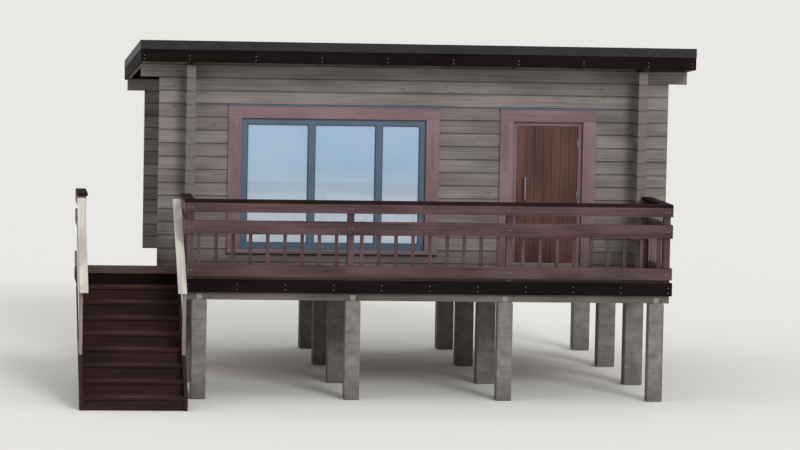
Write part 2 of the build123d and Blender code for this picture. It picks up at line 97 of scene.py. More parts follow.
# %% [markdown]
# ## Colours as they are seen
#
# Paint and timber colours are written as they look on a screen, in sRGB hex. The render works in
# linear light, so one function turns one into the other, and no colour is ever typed twice over.

# %% Turn a screen colour into linear light
def linear(hex_colour):
    values = [int(hex_colour[i:i + 2], 16) / 255 for i in (0, 2, 4)]
    return [v / 12.92 if v <= 0.04045 else ((v + 0.055) / 1.055) ** 2.4 for v in values] + [1.0]


print("a mid grey of 808080 is", round(linear("808080")[0], 3), "in linear light")

# %% [markdown]
# ## One helper for every shader node
#
# A node graph is a list of nodes, their settings and the links between them. The helper adds a
# node, sets its properties and the values of its sockets, and joins the sockets that are fed by
# other nodes, so that a material reads from top to bottom like a recipe.

# %% Add a node with its settings and links
def add(tree, kind, links=None, values=None, **settings):
    node = tree.nodes.new("ShaderNode" + kind)
    for name, value in settings.items():
        setattr(node, name, value)
    for socket, value in (values or {}).items():
        node.inputs[socket].default_value = value
    for socket, source in (links or {}).items():
        tree.links.new(source, node.inputs[socket])
    return node.outputs[2] if kind == "Mix" and node.data_type == "RGBA" else node.outputs[0]


def start_material(name):
    material = bpy.data.materials.new(name)
    material.use_nodes = True
    tree = material.node_tree
    return material, tree, tree.nodes["Principled BSDF"]


def object_place(tree):
    return tree.nodes.new("ShaderNodeTexCoord").outputs["Object"]


def parts_of(tree, vector):
    return add(tree, "SeparateXYZ", {"Vector": vector}).node.outputs


print("a material starts from a Principled shader, and its pattern keeps its place on the object")

# %% [markdown]
# ## Small steps that the recipes repeat
#
# Each of these is one node with the few settings that matter here. The nodes could be added in
# full every time, but a recipe is easier to follow when each line says what it does.

# %% Patterns and ranges
def stretched(tree, place, feature):
    # Coordinates in which a pattern of size one is as long, deep and high as the feature, in metres
    return add(tree, "Mapping", {"Vector": place}, {"Scale": [1 / size for size in feature]})


def fractal(tree, vector, detail=3.0, roughness=0.55, scale=1.0):
    return add(
        tree,
        "TexNoise",
        {"Vector": vector},
        {"Scale": scale, "Detail": detail, "Roughness": roughness},
    )


def ramp(tree, factor, low, high, to_low=0.0, to_high=1.0):
    # Carries the range from low to high over to another range, and holds it there beyond the ends
    return add(
        tree,
        "MapRange",
        {"Value": factor},
        {"From Min": low, "From Max": high, "To Min": to_low, "To Max": to_high},
    )


print("patterns and ranges ready")

# %% [markdown]
# ## Sums and mixes
#
# The two sides of a sum or a mix are sometimes plain numbers or colours and sometimes the output
# of another node. Two helpers could tell them apart, but one that looks at what it is given keeps
# the recipes short. The last helper ends a recipe: it lays the pattern on the surface.

# %% Sums, mixes and the surface
def maths(tree, operation, first, second=None):
    links, values = {}, {}
    for socket, value in ((0, first), (1, second)):
        if isinstance(value, (int, float)):
            values[socket] = value
        elif value is not None:
            links[socket] = value
    return add(tree, "Math", links, values, operation=operation)


def blend(tree, factor, first, second, kind="MIX"):
    # Sockets 0, 6 and 7 of a colour mix are its factor and its two colours
    links, values = {}, {}
    for socket, value in ((0, factor), (6, first), (7, second)):
        if isinstance(value, (int, float, list)):
            values[socket] = value
        else:
            links[socket] = value
    return add(tree, "Mix", links, values, data_type="RGBA", blend_type=kind)


def surface(tree, shader, colour, height, depth, roughness, shine=0.5):
    # Colour and relief from the pattern, with one roughness and one shine all over
    bumps = add(tree, "Bump", {"Height": height}, {"Distance": depth, "Strength": 1.0})
    tree.links.new(colour, shader.inputs["Base Color"])
    tree.links.new(bumps, shader.inputs["Normal"])
    shader.inputs["Roughness"].default_value = roughness
    shader.inputs["Specular IOR Level"].default_value = shine


print("helpers ready")

# %% [markdown]
# ## Sawn timber
#
# Nearly everything here is softwood straight from a saw. What gives the eye "sawn and weathered"
# is a grain drawn out along the board, fine cracks that run with it, knots, and a slightly
# different grey on each board. An image would repeat, so noise is stretched along the grain
# instead. Real grain lines lie 2 to 4 mm apart, too fine to show from this far, so they are drawn
# 16 to 20 mm apart.

# %% Timber with grain, patches, knots and cracks
GRAIN_LENGTH = 1.4
PATCH_SIZE = (1.1, 0.28)
KNOT_APART = (0.42, 0.16)
KNOT_EDGE = (0.05, 0.10)
CRACK_SIZE = (0.9, 0.014)
SAWN_RELIEF = 0.0015


def along(axis, length, across):
    sizes = [across, across, across]
    sizes["XYZ".index(axis)] = length
    return sizes


def darker(colour, share):
    return [channel * share for channel in colour[:3]] + [1.0]


def timber_colour(tree, place, axis, pale, dark, grain=0.016, knots=0.5, cracks=0.6):
    lines = fractal(tree, stretched(tree, place, along(axis, GRAIN_LENGTH, grain)), 4.0, 0.62)
    patches = fractal(tree, stretched(tree, place, along(axis, *PATCH_SIZE)), 2.0)
    grain_mix = maths(tree, "MULTIPLY_ADD", lines, 0.75)
    tree.links.new(ramp(tree, patches, 0.35, 0.65, 0.0, 0.3), grain_mix.node.inputs[2])
    colour = blend(tree, ramp(tree, grain_mix, 0.35, 0.75), linear(pale), linear(dark))
    knot_place = stretched(tree, place, along(axis, *KNOT_APART))
    knot = add(tree, "TexVoronoi", {"Vector": knot_place}, {"Scale": 1.0})
    knot_mask = ramp(tree, knot, *KNOT_EDGE, knots, 0.0)
    colour = blend(tree, knot_mask, colour, darker(linear(dark), 0.35))
    splits = fractal(tree, stretched(tree, place, along(axis, *CRACK_SIZE)), 1.0)
    crack_mask = ramp(tree, splits, 0.66, 0.72, 0.0, cracks)
    colour = blend(tree, crack_mask, colour, darker(linear(dark), 0.25))
    height = maths(tree, "SUBTRACT", lines, crack_mask)
    return colour, height


print("knots lie about", KNOT_APART[0], "metres apart along the grain")

# %% [markdown]
# ## Timber out of the weather, and timber under foot
#
# Timber goes grey only where rain and sun reach it, and inside the room it keeps its honey colour.
# On the treads, feet rub the stain thin. Both could be painted by hand, but each keeps to a plain
# rule, so it is worked out from the distance to the walls or to the edge of a tread.

# %% Honey timber indoors and worn treads
INDOOR_DEPTH = 0.02
INDOOR_HEIGHT = 0.2
PATH_HALF_WIDTH = (0.18, 0.45)
risers = 9
rise = deck_top / risers
going = 0.290
tread_low, tread_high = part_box("stair_treads")


def pale_indoors(tree, place, colour, grain):
    # The line lies inside the thickness of a wall, so that the grooves of its inner face are in
    here = parts_of(tree, place)
    reach = wall_thickness - INDOOR_DEPTH
    inside = maths(tree, "GREATER_THAN", here["Z"], wall_bottom + INDOOR_HEIGHT)
    for axis, low, high in (
        ("X", left_face + reach, right_face - reach),
        ("Y", front_face + reach, back_face - reach),
    ):
        offset = maths(tree, "ABSOLUTE", maths(tree, "SUBTRACT", here[axis], (low + high) / 2))
        inside = maths(tree, "MULTIPLY", inside, maths(tree, "LESS_THAN", offset, (high - low) / 2))
    honey = blend(tree, ramp(tree, grain, 0.3, 0.75), linear("c8ae89"), linear("a68a67"))
    return blend(tree, inside, colour, honey)


def worn_by_feet(tree, place, colour, grain):
    # Feet land in the middle of a tread and rub the stain thin, most of all along its front edge
    here = parts_of(tree, place)
    middle = (tread_low.x + tread_high.x) / 2
    aside = maths(tree, "ABSOLUTE", maths(tree, "SUBTRACT", here["X"], middle))
    path = ramp(tree, aside, *PATH_HALF_WIDTH, 1.0, 0.0)
    steps = maths(tree, "DIVIDE", maths(tree, "SUBTRACT", here["Y"], tread_low.y), going)
    at_edge = ramp(tree, maths(tree, "FRACT", steps), 0.03, 0.6, 1.0, 0.3)
    normal = add(tree, "NewGeometry").node.outputs["Normal"]
    upward = ramp(tree, parts_of(tree, normal)["Z"], 0.3, 0.7)
    wear = maths(tree, "MULTIPLY", maths(tree, "MULTIPLY", path, at_edge), upward)
    wear = maths(tree, "MULTIPLY", wear, ramp(tree, grain, 0.35, 0.7, 0.15, 0.75))
    return blend(tree, wear, colour, linear("6d5044"))


print("each of the", risers, "steps rises", round(rise * 1000), "mm")

# %% [markdown]
# ## One recipe for boards
#
# Every board takes its two colours, the run of its grain, its roughness and its shine from one
# recipe. No two boards of a deck are the same grey. Each could have a material of its own, but a
# number stored on each board, from which its shade is worked out, does the same with one.

# %% Make a finish for sawn boards
def board_tones(tree, colour, low, high):
    # The number is between 0 and 1, and stored on the faces of the board
    tone = add(tree, "Attribute", attribute_name="board_tone")
    factor = tone.node.outputs["Fac"]
    return blend(tree, 1.0, colour, ramp(tree, factor, 0.0, 1.0, low, high), "MULTIPLY")


def sawn_timber(
    name, axis, pale, dark, roughness=0.85, tones=None, shine=0.25, climb=0.0, change=None, **pattern
):
    # A board that climbs to the back has its pattern turned with it, about X
    material, tree, shader = start_material(name)
    place = object_place(tree)
    if climb:
        place = add(tree, "Mapping", {"Vector": place}, {"Rotation": (-climb, 0.0, 0.0)})
    colour, height = timber_colour(tree, place, axis, pale, dark, **pattern)
    if change:
        colour = change(tree, place, colour, height)
    if tones:
        colour = board_tones(tree, colour, *tones)
    surface(tree, shader, colour, height, SAWN_RELIEF, roughness, shine)
    return material


print("board recipe ready")

# %% [markdown]
# ## The ends of the logs
#
# The cut ends at the corners show growth rings round the heart of the log, darker than its sides
# because end grain drinks rain, and one or two drying cracks. The rings could be modelled, but
# they are flat, so they are drawn as waves of the distance from the heart. Real rings are 2 to
# 3 mm wide and drawn 11 mm wide here, to show at all.

# %% Rings and drying cracks
RING_WIDTH = 0.011
RING_WOBBLE = 0.02
DRYING_CRACK = 0.0016


def end_grain(tree, place, sideways, up, tone):
    squares = maths(tree, "ADD", maths(tree, "POWER", sideways, 2.0), maths(tree, "POWER", up, 2.0))
    wobble = maths(tree, "MULTIPLY", fractal(tree, place, 2.0, scale=14.0), RING_WOBBLE)
    radius = maths(tree, "ADD", maths(tree, "SQRT", squares), wobble)
    rings = maths(tree, "SINE", maths(tree, "MULTIPLY", radius, 2 * math.pi / RING_WIDTH))
    colour = blend(tree, ramp(tree, rings, -1.0, 1.0), linear("7e7672"), linear("5f5753"))

    # The cracks run out from the heart at an angle that the log's own tone gives
    angle = maths(tree, "DIVIDE", maths(tree, "ARCTAN2", up, sideways), 2 * math.pi)
    turned = maths(tree, "PINGPONG", maths(tree, "ADD", angle, maths(tree, "MULTIPLY", tone, 3.7)), 0.25)
    crack_width = maths(tree, "DIVIDE", DRYING_CRACK, maths(tree, "ADD", radius, 0.01))
    split_open = maths(tree, "LESS_THAN", turned, maths(tree, "DIVIDE", crack_width, 2 * math.pi))
    return blend(tree, maths(tree, "MULTIPLY", split_open, 0.85), colour, linear("221d1a"))


print("growth rings are drawn", round(RING_WIDTH * 1000), "mm wide")

# %% [markdown]
# ## Squared logs
#
# Spruce logs sawn square and left bare go silver grey outside. Each course came from another
# tree, so it has a grey of its own, and each log is drawn darker towards the groove between two
# logs. Every log could be a piece with a finish of its own, but the courses are all one height,
# so the course is counted from the height, and a random number for each gives its grey.

# %% A log wall that runs along X or along Y
HEART_HEIGHT = 0.45
GROOVE_SHARE = 0.11


def log_timber(name, axis, hearts):
    material, tree, shader = start_material(name)
    place = object_place(tree)
    colour, height = timber_colour(
        tree, place, axis, "89817f", "6a6362", grain=0.02, knots=0.55, cracks=0.5
    )
    here = parts_of(tree, place)
    course = maths(tree, "DIVIDE", maths(tree, "SUBTRACT", here["Z"], wall_bottom), log_height)
    tone = add(
        tree, "TexWhiteNoise", {"W": maths(tree, "FLOOR", course)}, noise_dimensions="1D"
    )
    colour = blend(tree, 1.0, colour, ramp(tree, tone, 0.0, 1.0, 0.84, 1.1), "MULTIPLY")

    # Offsets from the heart of the nearest log, for its cut ends
    across = here["Y" if axis == "X" else "X"]
    offsets = [maths(tree, "ABSOLUTE", maths(tree, "SUBTRACT", across, heart)) for heart in hearts]
    sideways = maths(tree, "MINIMUM", *offsets)
    share_up = maths(tree, "SUBTRACT", maths(tree, "FRACT", course), HEART_HEIGHT)
    up = maths(tree, "MULTIPLY", share_up, log_height)
    normal = parts_of(tree, add(tree, "NewGeometry").node.outputs["Normal"])
    cut_end = ramp(tree, maths(tree, "ABSOLUTE", normal[axis]), 0.9, 0.95)
    colour = blend(tree, cut_end, colour, end_grain(tree, place, sideways, up, tone))
    colour = pale_indoors(tree, place, colour, height)

    # Drawn darker towards the groove between two logs
    groove = maths(tree, "PINGPONG", maths(tree, "FRACT", course), 0.5)
    groove_darkening = ramp(tree, groove, 0.0, GROOVE_SHARE, 0.62, 1.0)
    colour = blend(tree, 1.0, colour, groove_darkening, "MULTIPLY")
    surface(tree, shader, colour, height, 0.003, 0.88, 0.2)
    return material


half_wall = wall_thickness / 2
hearts_of_long_walls = (front_face + half_wall, back_face - half_wall)
hearts_of_side_walls = (left_face + half_wall, right_face - half_wall)
silver_logs_along_x = log_timber("silver_logs_along_x", "X", hearts_of_long_walls)
silver_logs_along_y = log_timber("silver_logs_along_y", "Y", hearts_of_side_walls)
print("made the logs of the long walls and of the side walls")

# %% [markdown]
# ## Stained and bare boards
#
# The fascias and the boards round the deck wear a nearly black stain, the railing posts a
# red-brown one that has faded, and the steps a dark one. The near-black of the rim and the
# fascias is partly painted shade, from under the deck's edge and the eaves, and the steps are
# drawn darker than the deck's stain, as painted shade. The deck, the bearers and the roof
# timbers are bare. Each could have a recipe of its own, but the timber under the stain is the
# same, so one serves them all.

# %% Finishes for boards, bare and stained
# Nearly black stain, which on the rim of the deck and the fascias is partly painted shade
fascia = {"pale": "191010", "dark": "0b0606", "cracks": 0.3, "shine": 0.08}
roof_timber = {"pale": "787069", "dark": "56504a", "change": pale_indoors}
# The steps' dark stain is drawn darker than the deck's, partly as painted shade over the steps
stair_stain = {"pale": "351c1a", "dark": "1c0c0a", "cracks": 0.3}
stair_climb = math.atan(rise / going)
black_fascia_and_rim_shade_x = sawn_timber("black_fascia_and_rim_shade_x", "X", **fascia)
black_brown_fascia_y = sawn_timber("black_brown_fascia_y", "Y", **fascia)
faded_rail_stain_z = sawn_timber("faded_rail_stain_z", "Z", "5b494a", "3b2b2d", cracks=0.4)
# The caps are drawn darker than the rails, partly as painted shade at their front edge
cap_stain_and_shade = sawn_timber("cap_stain_and_shade", "X", "27171a", "140a0c", cracks=0.3, shine=0.1)
bare_deck_boards = sawn_timber(
    "bare_deck_boards", "X", "5c4842", "402f2b", tones=(0.85, 1.12), cracks=0.4
)
bare_bearers = sawn_timber("bare_bearers", "X", "6b6462", "4c4644")
bare_roof_timber_y = sawn_timber("bare_roof_timber_y", "Y", **roof_timber)
bare_roof_timber_x = sawn_timber("bare_roof_timber_x", "X", **roof_timber)
bare_roof_boards = sawn_timber(
    "bare_roof_boards", "X", "7d746b", "5c554d", tones=(0.88, 1.08), cracks=0.3, change=pale_indoors
)
planed_floor_boards = sawn_timber(
    "planed_floor_boards", "X", "ad9372", "8d7356", roughness=0.6, tones=(0.9, 1.06), cracks=0.0
)
steps_stain_and_shade_y = sawn_timber("steps_stain_and_shade_y", "Y", climb=stair_climb, **stair_stain)
steps_stain_and_shade_x = sawn_timber(
    "steps_stain_and_shade_x", "X", tones=(0.82, 1.15), change=worn_by_feet, **stair_stain
)
pale_stair_posts = sawn_timber("pale_stair_posts", "Z", "8c807b", "665b57", cracks=0.4)
# Pale timber, drawn paler still as painted sunlight on the handrail's top
pale_handrail_and_sunlight = sawn_timber(
    "pale_handrail_and_sunlight", "Y", "d1ccc2", "a9a099", cracks=0.3, climb=stair_climb
)
brown_door_stain = sawn_timber(
    "brown_door_stain", "Z", "604036", "412923", roughness=0.6, tones=(0.88, 1.1), cracks=0.2
)
print("made", len(bpy.data.materials), "materials so far")

# %% [markdown]
# ## Concrete and felt
#
# The piers were cast in moulds of boards: a pale grey with pores, the lines between the boards and
# darker, damp feet. The roof is bitumen felt with slate grit. Pores and grit could be cut into
# the mesh, at the price of millions of faces, so they are drawn and raised by noise. The grit is
# 1 mm across and drawn 8 mm across, so that it shows.

# %% The mineral finishes
MOULD_BOARD = 0.150
DAMP_HEIGHT = (0.05, 0.35)
GRIT_SIZE = 0.008


def cast_concrete():
    material, tree, shader = start_material("cast_concrete")
    place = object_place(tree)
    cloudy = fractal(tree, place, 4.0, 0.6, scale=7.0)
    colour = blend(tree, ramp(tree, cloudy, 0.3, 0.7), linear("7f7b76"), linear("615d59"))
    pores = add(tree, "TexVoronoi", {"Vector": place}, {"Scale": 38.0})
    pore_mask = ramp(tree, pores, 0.08, 0.16, 0.55, 0.0)
    colour = blend(tree, pore_mask, colour, linear("3d3a37"))
    height_up = parts_of(tree, place)["Z"]
    damp = ramp(tree, height_up, *DAMP_HEIGHT, 0.68, 1.0)
    colour = blend(tree, 1.0, colour, damp, "MULTIPLY")
    mould_lines = maths(tree, "PINGPONG", height_up, MOULD_BOARD / 2)
    ridge = ramp(tree, mould_lines, 0.0, 0.006, 1.0, 0.0)
    relief = maths(tree, "SUBTRACT", maths(tree, "ADD", ridge, cloudy), pore_mask)
    surface(tree, shader, colour, relief, 0.004, 0.92)
    return material


def gritted_felt():
    material, tree, shader = start_material("gritted_felt")
    place = object_place(tree)
    grit = fractal(tree, place, 2.0, 0.7, scale=1 / GRIT_SIZE)
    drifts = fractal(tree, place, 3.0, scale=1.3)
    colour = blend(tree, ramp(tree, grit, 0.35, 0.65), linear("272628"), linear("464445"))
    colour = blend(tree, 1.0, colour, ramp(tree, drifts, 0.3, 0.7, 0.8, 1.1), "MULTIPLY")
    surface(tree, shader, colour, grit, 0.002, 0.95)
    return material


concrete = cast_concrete()
felt = gritted_felt()
print("the boards of the mould were", round(MOULD_BOARD * 1000), "mm wide")

# %% [markdown]
# ## Coated sheet and steel
#
# The roof's edge and the window frame are coil-coated sheet, which has a soft, even sheen that
# dust dulls in patches. The steel parts are brushed or zinc-plated. A plain colour would do from
# far off, but metal is told by how its gloss varies, so noise drives the roughness.

# %% The metal finishes
def coated_sheet(name, colour, worn, roughness, shine=0.5):
    material, tree, shader = start_material(name)
    place = object_place(tree)
    dust = fractal(tree, place, 4.0, 0.6, scale=3.0)
    dusty = blend(tree, ramp(tree, dust, 0.4, 0.75, 0.0, 0.6), linear(colour), linear(worn))
    surface(tree, shader, dusty, fractal(tree, place, 1.0, scale=9.0), 0.0008, roughness, shine)
    uneven = ramp(tree, dust, 0.3, 0.7, roughness - 0.08, roughness + 0.12)
    tree.links.new(uneven, shader.inputs["Roughness"])
    return material


def bright_steel(name, colour, roughness, stretch):
    material, tree, shader = start_material(name)
    lines = fractal(tree, stretched(tree, object_place(tree), stretch), 2.0)
    brushed = blend(tree, lines, linear(colour), linear("7c7c7b"))
    uneven = ramp(tree, lines, 0.3, 0.7, roughness - 0.07, roughness + 0.1)
    tree.links.new(brushed, shader.inputs["Base Color"])
    tree.links.new(uneven, shader.inputs["Roughness"])
    shader.inputs["Metallic"].default_value = 1.0
    return material


edge_metal = coated_sheet("purple_grey_edge_metal", "232124", "332f35", 0.5, shine=0.15)
# The blue in the frame's grey is partly its coat and partly a painted reflection of the sky
frame_coat_and_sky_tint = coated_sheet("window_coat_and_painted_sky", "44586c", "546677", 0.42)
handle_steel = bright_steel("brushed_handle_steel", "c2c0bc", 0.32, (0.02, 0.02, 0.0015))
zinc_steel = bright_steel("zinc_plated_steel", "8e9193", 0.55, (0.004, 0.004, 0.004))
print("made", len(bpy.data.materials), "materials so far")

# %% [markdown]
# ## Glass with a painted sky
#
# From outside, coated double glazing shows the sky rather than the room. Clear glass would mirror
# whatever this plain stage holds, so the panes carry a painted reflection of the sky's blue as
# their own colour, and a painted reflection of the bright horizon makes them paler lower down,
# under a clear and glossy coat.

# %% The panes
HORIZON_REFLECTION_BELOW_TOP = (1.15, 0.6)


def glass_with_painted_sky():
    material, tree, shader = start_material("coated_double_glazing")
    place = object_place(tree)
    # Painted reflection of the sky: the panes' own colour is its blue, in paler and deeper patches
    painted_sky_patches = fractal(tree, stretched(tree, place, (1.6, 1.0, 1.1)), 2.0)
    sky = blend(tree, ramp(tree, painted_sky_patches, 0.35, 0.65), linear("9bbbd6"), linear("abc6de"))
    # Painted reflection of the bright horizon, which makes the panes paler towards their foot
    horizon_reflection_low, horizon_reflection_high = (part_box("window_glass")[1].z - below for below in HORIZON_REFLECTION_BELOW_TOP)
    painted_horizon_reflection = ramp(tree, parts_of(tree, place)["Z"], horizon_reflection_low, horizon_reflection_high, 0.85, 0.0)
    tree.links.new(blend(tree, painted_horizon_reflection, sky, linear("c9d6dd")), shader.inputs["Base Color"])
    streaks = fractal(tree, stretched(tree, place, (0.05, 0.05, 0.5)), 3.0)
    tree.links.new(ramp(tree, streaks, 0.4, 0.8, 0.03, 0.09), shader.inputs["Roughness"])
    for socket, value in (
        ("Transmission Weight", 0.1),
        ("Coat Weight", 0.4),
        ("Coat Roughness", 0.02),
        ("IOR", 1.52),
    ):
        shader.inputs[socket].default_value = value
    return material


glass = glass_with_painted_sky()
print("made", len(bpy.data.materials), "materials with the glass")

# %% [markdown]
# ## Grain that turns with the boards
#
# A railing panel is one node: its three rails lie flat along the panel and its balusters stand.
# Grain has to follow each board. The panel could be cut into pieces, but its boards change with
# the height alone: between the two lower rails only balusters are in sight. So the material looks
# at its height and turns the grain upright there.

# %% Stain for the railings
bottom_rail = (0.035, 0.190)
second_rail = (0.585, 0.765)
top_rail = (0.870, 0.990)
RAIL_TONES_PER_METRE = 3.3
rail_middles = [(low + high) / 2 for low, high in (bottom_rail, second_rail, top_rail)]


def turning_grain(name, axis, stands, pale, dark, cracks=0.3, roughness=0.82, tone_rails=False):
    # The boards stand upright between the two heights, and lie along the axis below and above
    material, tree, shader = start_material(name)
    place = object_place(tree)
    height_up = parts_of(tree, place)["Z"]
    above = maths(tree, "GREATER_THAN", height_up, stands[0])
    below = maths(tree, "LESS_THAN", height_up, stands[1])
    upright = maths(tree, "MULTIPLY", above, below)
    flat_colour, flat_relief = timber_colour(tree, place, axis, pale, dark, cracks=cracks)
    stood_colour, stood_relief = timber_colour(tree, place, "Z", pale, dark, cracks=0.3)
    colour = blend(tree, upright, flat_colour, stood_colour)
    relief = add(tree, "Mix", {0: upright, 2: flat_relief, 3: stood_relief})
    if tone_rails:
        rail_number = maths(tree, "FLOOR", maths(tree, "MULTIPLY", height_up, RAIL_TONES_PER_METRE))
        tone = add(tree, "TexWhiteNoise", {"W": rail_number}, noise_dimensions="1D")
        colour = blend(tree, 1.0, colour, ramp(tree, tone, 0.0, 1.0, 0.85, 1.08), "MULTIPLY")
    surface(tree, shader, colour, relief, SAWN_RELIEF, roughness, 0.25)
    return material


balusters = (deck_top + bottom_rail[1], deck_top + second_rail[0])
rails = {"cracks": 0.4, "roughness": 0.8, "tone_rails": True}
front_railing_stain = turning_grain("front_railing_stain", "X", balusters, "594445", "372628", **rails)
# The side railings take the front railing's stain drawn paler, as painted sunlight on their sides
sunlit_copy_of_railing_stain = turning_grain("sunlit_copy_of_railing_stain", "Y", balusters, "756362", "4f3e3f", **rails)
print("balusters stand for", round(balusters[1] - balusters[0], 3), "metres")

# %% [markdown]
# ## Stain for the casings
#
# The boards round the window and the door wear a paler coat of the railing's stain. Those at the
# sides stand between a head and a sill that lie flat, so they are done as the railings are, with
# heights that are read from each node's own box.

# %% Stain the casings
casing_width = 0.180
sill_board = 0.050
threshold = 0.030
frame_head = 0.060


def stands_between(node, foot, head):
    low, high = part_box(node)
    return low.z + foot, high.z - head


window_sides = stands_between("window_trim", sill_board, casing_width)
door_sides = stands_between("door_trim", 0.0, casing_width)
door_posts = stands_between("door_frame", threshold, frame_head)
window_casing_stain = turning_grain("window_casing_stain", "X", window_sides, "877074", "6c585c")
door_casing_stain = turning_grain("door_casing_stain", "X", door_sides, "877074", "6c585c")
door_frame_stain = turning_grain("door_frame_stain", "X", door_posts, "806a6d", "665356")
print("made", len(bpy.data.materials), "materials in all")

# %% [markdown]
# ## Put the finishes on the frame
#
# Each CAD node keeps its mesh and has one material slot. A list of finishes, each with its nodes,
# is the plainest way to fill them, and it can be checked against the frame in one look.

# %% Fill the material slots
finishes = (
    (concrete, "concrete_piers"),
    (bare_bearers, "cabin_bearers", "deck_bearers"),
    (bare_roof_timber_y, "floor_joists", "rafters", "deck_joists"),
    (bare_roof_timber_x, "eaves_blocking"),
    (bare_roof_boards, "roof_boards"),
    (planed_floor_boards, "floor_boards"),
    (silver_logs_along_x, "front_wall_sill_log", "front_wall_left", "front_wall_under_window"),
    (silver_logs_along_x, "front_wall_middle", "front_wall_right", "front_wall_top"),
    (silver_logs_along_x, "back_wall", "plate_logs"),
    (silver_logs_along_y, "left_wall", "right_wall"),
    (felt, "roof_felt"),
    (black_fascia_and_rim_shade_x, "eaves_fascias", "deck_rim_boards"),
    (black_brown_fascia_y, "verge_boards"),
    (edge_metal, "roof_edge_trim"),
    (frame_coat_and_sky_tint, "window_frame"),
    (glass, "window_glass"),
    (window_casing_stain, "window_trim"),
    (door_casing_stain, "door_trim"),
    (door_frame_stain, "door_frame"),
    (brown_door_stain, "front_door"),
    (handle_steel, "door_handle"),
    (bare_deck_boards, "deck_floor"),
    (faded_rail_stain_z, "railing_posts"),
    (front_railing_stain, "front_railing_left", "front_railing_middle", "front_railing_right"),
    (sunlit_copy_of_railing_stain, "deck_left_railing", "deck_right_railing", "landing_railing"),
    (cap_stain_and_shade, "deck_handrails"),
    (steps_stain_and_shade_y, "stair_strings"),
    (steps_stain_and_shade_x, "stair_treads", "stair_risers"),
    (pale_stair_posts, "stair_posts"),
    (pale_handrail_and_sunlight, "stair_rails"),
)
finished = set()
for finish, *node_names in finishes:
    for node_name in node_names:
        mesh_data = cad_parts[node_name].data
        mesh_data.materials.clear()
        mesh_data.materials.append(finish)
        finished.add(node_name)
print("nodes without a finish:", sorted(set(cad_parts) - finished))

# %% [markdown]
# ## Helpers for boards
#
# A board starts as a cube that is scaled to its length, width and thickness, and its sharp edges
# are taken off with a small bevel, as a plane does on site. Every board also gets a number of its
# own between 0 and 1, stored on its faces, from which the timber works out its shade.

# %% Cut a board
chance = random.Random(7)


def start_piece():
    mesh = bmesh.new()
    mesh.faces.layers.float.new("board_tone")
    return mesh


def cut_board(mesh, low, high, edge=0.002, segments=1, turn=None):
    # The turn is applied about the board's own middle
    low, high = Vector(low), Vector(high)
    place = Matrix.Translation((low + high) / 2)
    if turn is not None:
        place = place @ turn
    size = Matrix.Diagonal((*(high - low), 1.0))
    made = bmesh.ops.create_cube(mesh, size=1.0, matrix=place @ size)
    edges = list({edge_of for corner in made["verts"] for edge_of in corner.link_edges})
    rounded = bmesh.ops.bevel(
        mesh,
        geom=edges,
        offset=edge,
        offset_type="OFFSET",
        affect="EDGES",
        segments=segments,
        profile=0.5,
        material=-1,
    )
    tone_layer = mesh.faces.layers.float["board_tone"]
    tone = chance.random()
    for face in {face for corner in rounded["verts"] for face in corner.link_faces}:
        face[tone_layer] = tone


def evenly(first, last, count):
    return [first + (last - first) * i / (count - 1) for i in range(count)]


print("ready to cut boards")

# %% [markdown]
# ## From mesh to piece
#
# A piece needs a material, a place in the scene, the body it rides on and the slot it takes its
# finish from. Some also stand for a CAD node, which is then hidden. These steps could be typed for
# each piece, but then one is easily forgotten, so a single helper takes them all.

# %% Finish a piece
def finish_piece(name, mesh, finish, stands_for=()):
    data = bpy.data.meshes.new(name)
    mesh.to_mesh(data)
    mesh.free()
    data.materials.append(finish)
    piece = bpy.data.objects.new(name, data)
    bpy.context.scene.collection.objects.link(piece)
    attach(piece, "root")
    if stands_for:
        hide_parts(*stands_for)
    print(name, "has", len(data.polygons), "faces")


print("ready to finish pieces")

# %% [markdown]
# ## Deck boards
#
# The CAD deck is one sheet for each floor. The real one is boards about 117 mm wide that run
# along the wall, with 6 mm between them for the rain. The deck is longer than one board can be,
# so each row has a joint over a joist, never at the same joist as the row beside it. An Array
# modifier could repeat one board, but the joints move from row to row, so a loop lays them.

# %% Lay the deck and the landing
BOARD_GAP = 0.006
END_GAP = 0.001
joist_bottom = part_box("deck_joists")[0].z
joist_width = 0.045
half_joist = joist_width / 2
joist_in = rail_board + half_joist
joist_count = 11
deck_joists = evenly(deck_left + joist_in, deck_right - joist_in, joist_count)
landing_seam = 0.002
deck_rows = 16
landing_rows = 8


def lay_rows(mesh, x_from, x_to, y_from, y_to, count, joints):
    pitch = (y_to - y_from) / count
    for row in range(count):
        y_low = y_from + row * pitch + BOARD_GAP / 2
        y_high = y_from + (row + 1) * pitch - BOARD_GAP / 2
        cuts = [x_from] + ([joints[row % len(joints)]] if joints else []) + [x_to]
        for start, end in zip(cuts, cuts[1:]):
            low = (start + END_GAP, y_low, floor_low.z)
            high = (end - END_GAP, y_high, floor_high.z)
            cut_board(mesh, low, high, edge=0.003)
    return pitch


boards = start_piece()
joints = (deck_joists[4], deck_joists[7], deck_joists[2])
deck_pitch = lay_rows(boards, deck_left, deck_right, floor_low.y, floor_high.y, deck_rows, joints)
landing_right = deck_left - landing_seam
landing_pitch = lay_rows(
    boards, landing_left, landing_right, landing_front, floor_high.y, landing_rows, ()
)
finish_piece("deck_boards", boards, bare_deck_boards, ["deck_floor"])
print("a deck board is", round((deck_pitch - BOARD_GAP) * 1000), "mm wide")

# %% [markdown]
# ## Floor boards inside
#
# The room has planed boards, tongued together, that run the same way as the deck. They hardly
# show through the window, so one sheet with drawn joints would do for the picture, but whoever
# furnishes the cabin later will see them from close by.

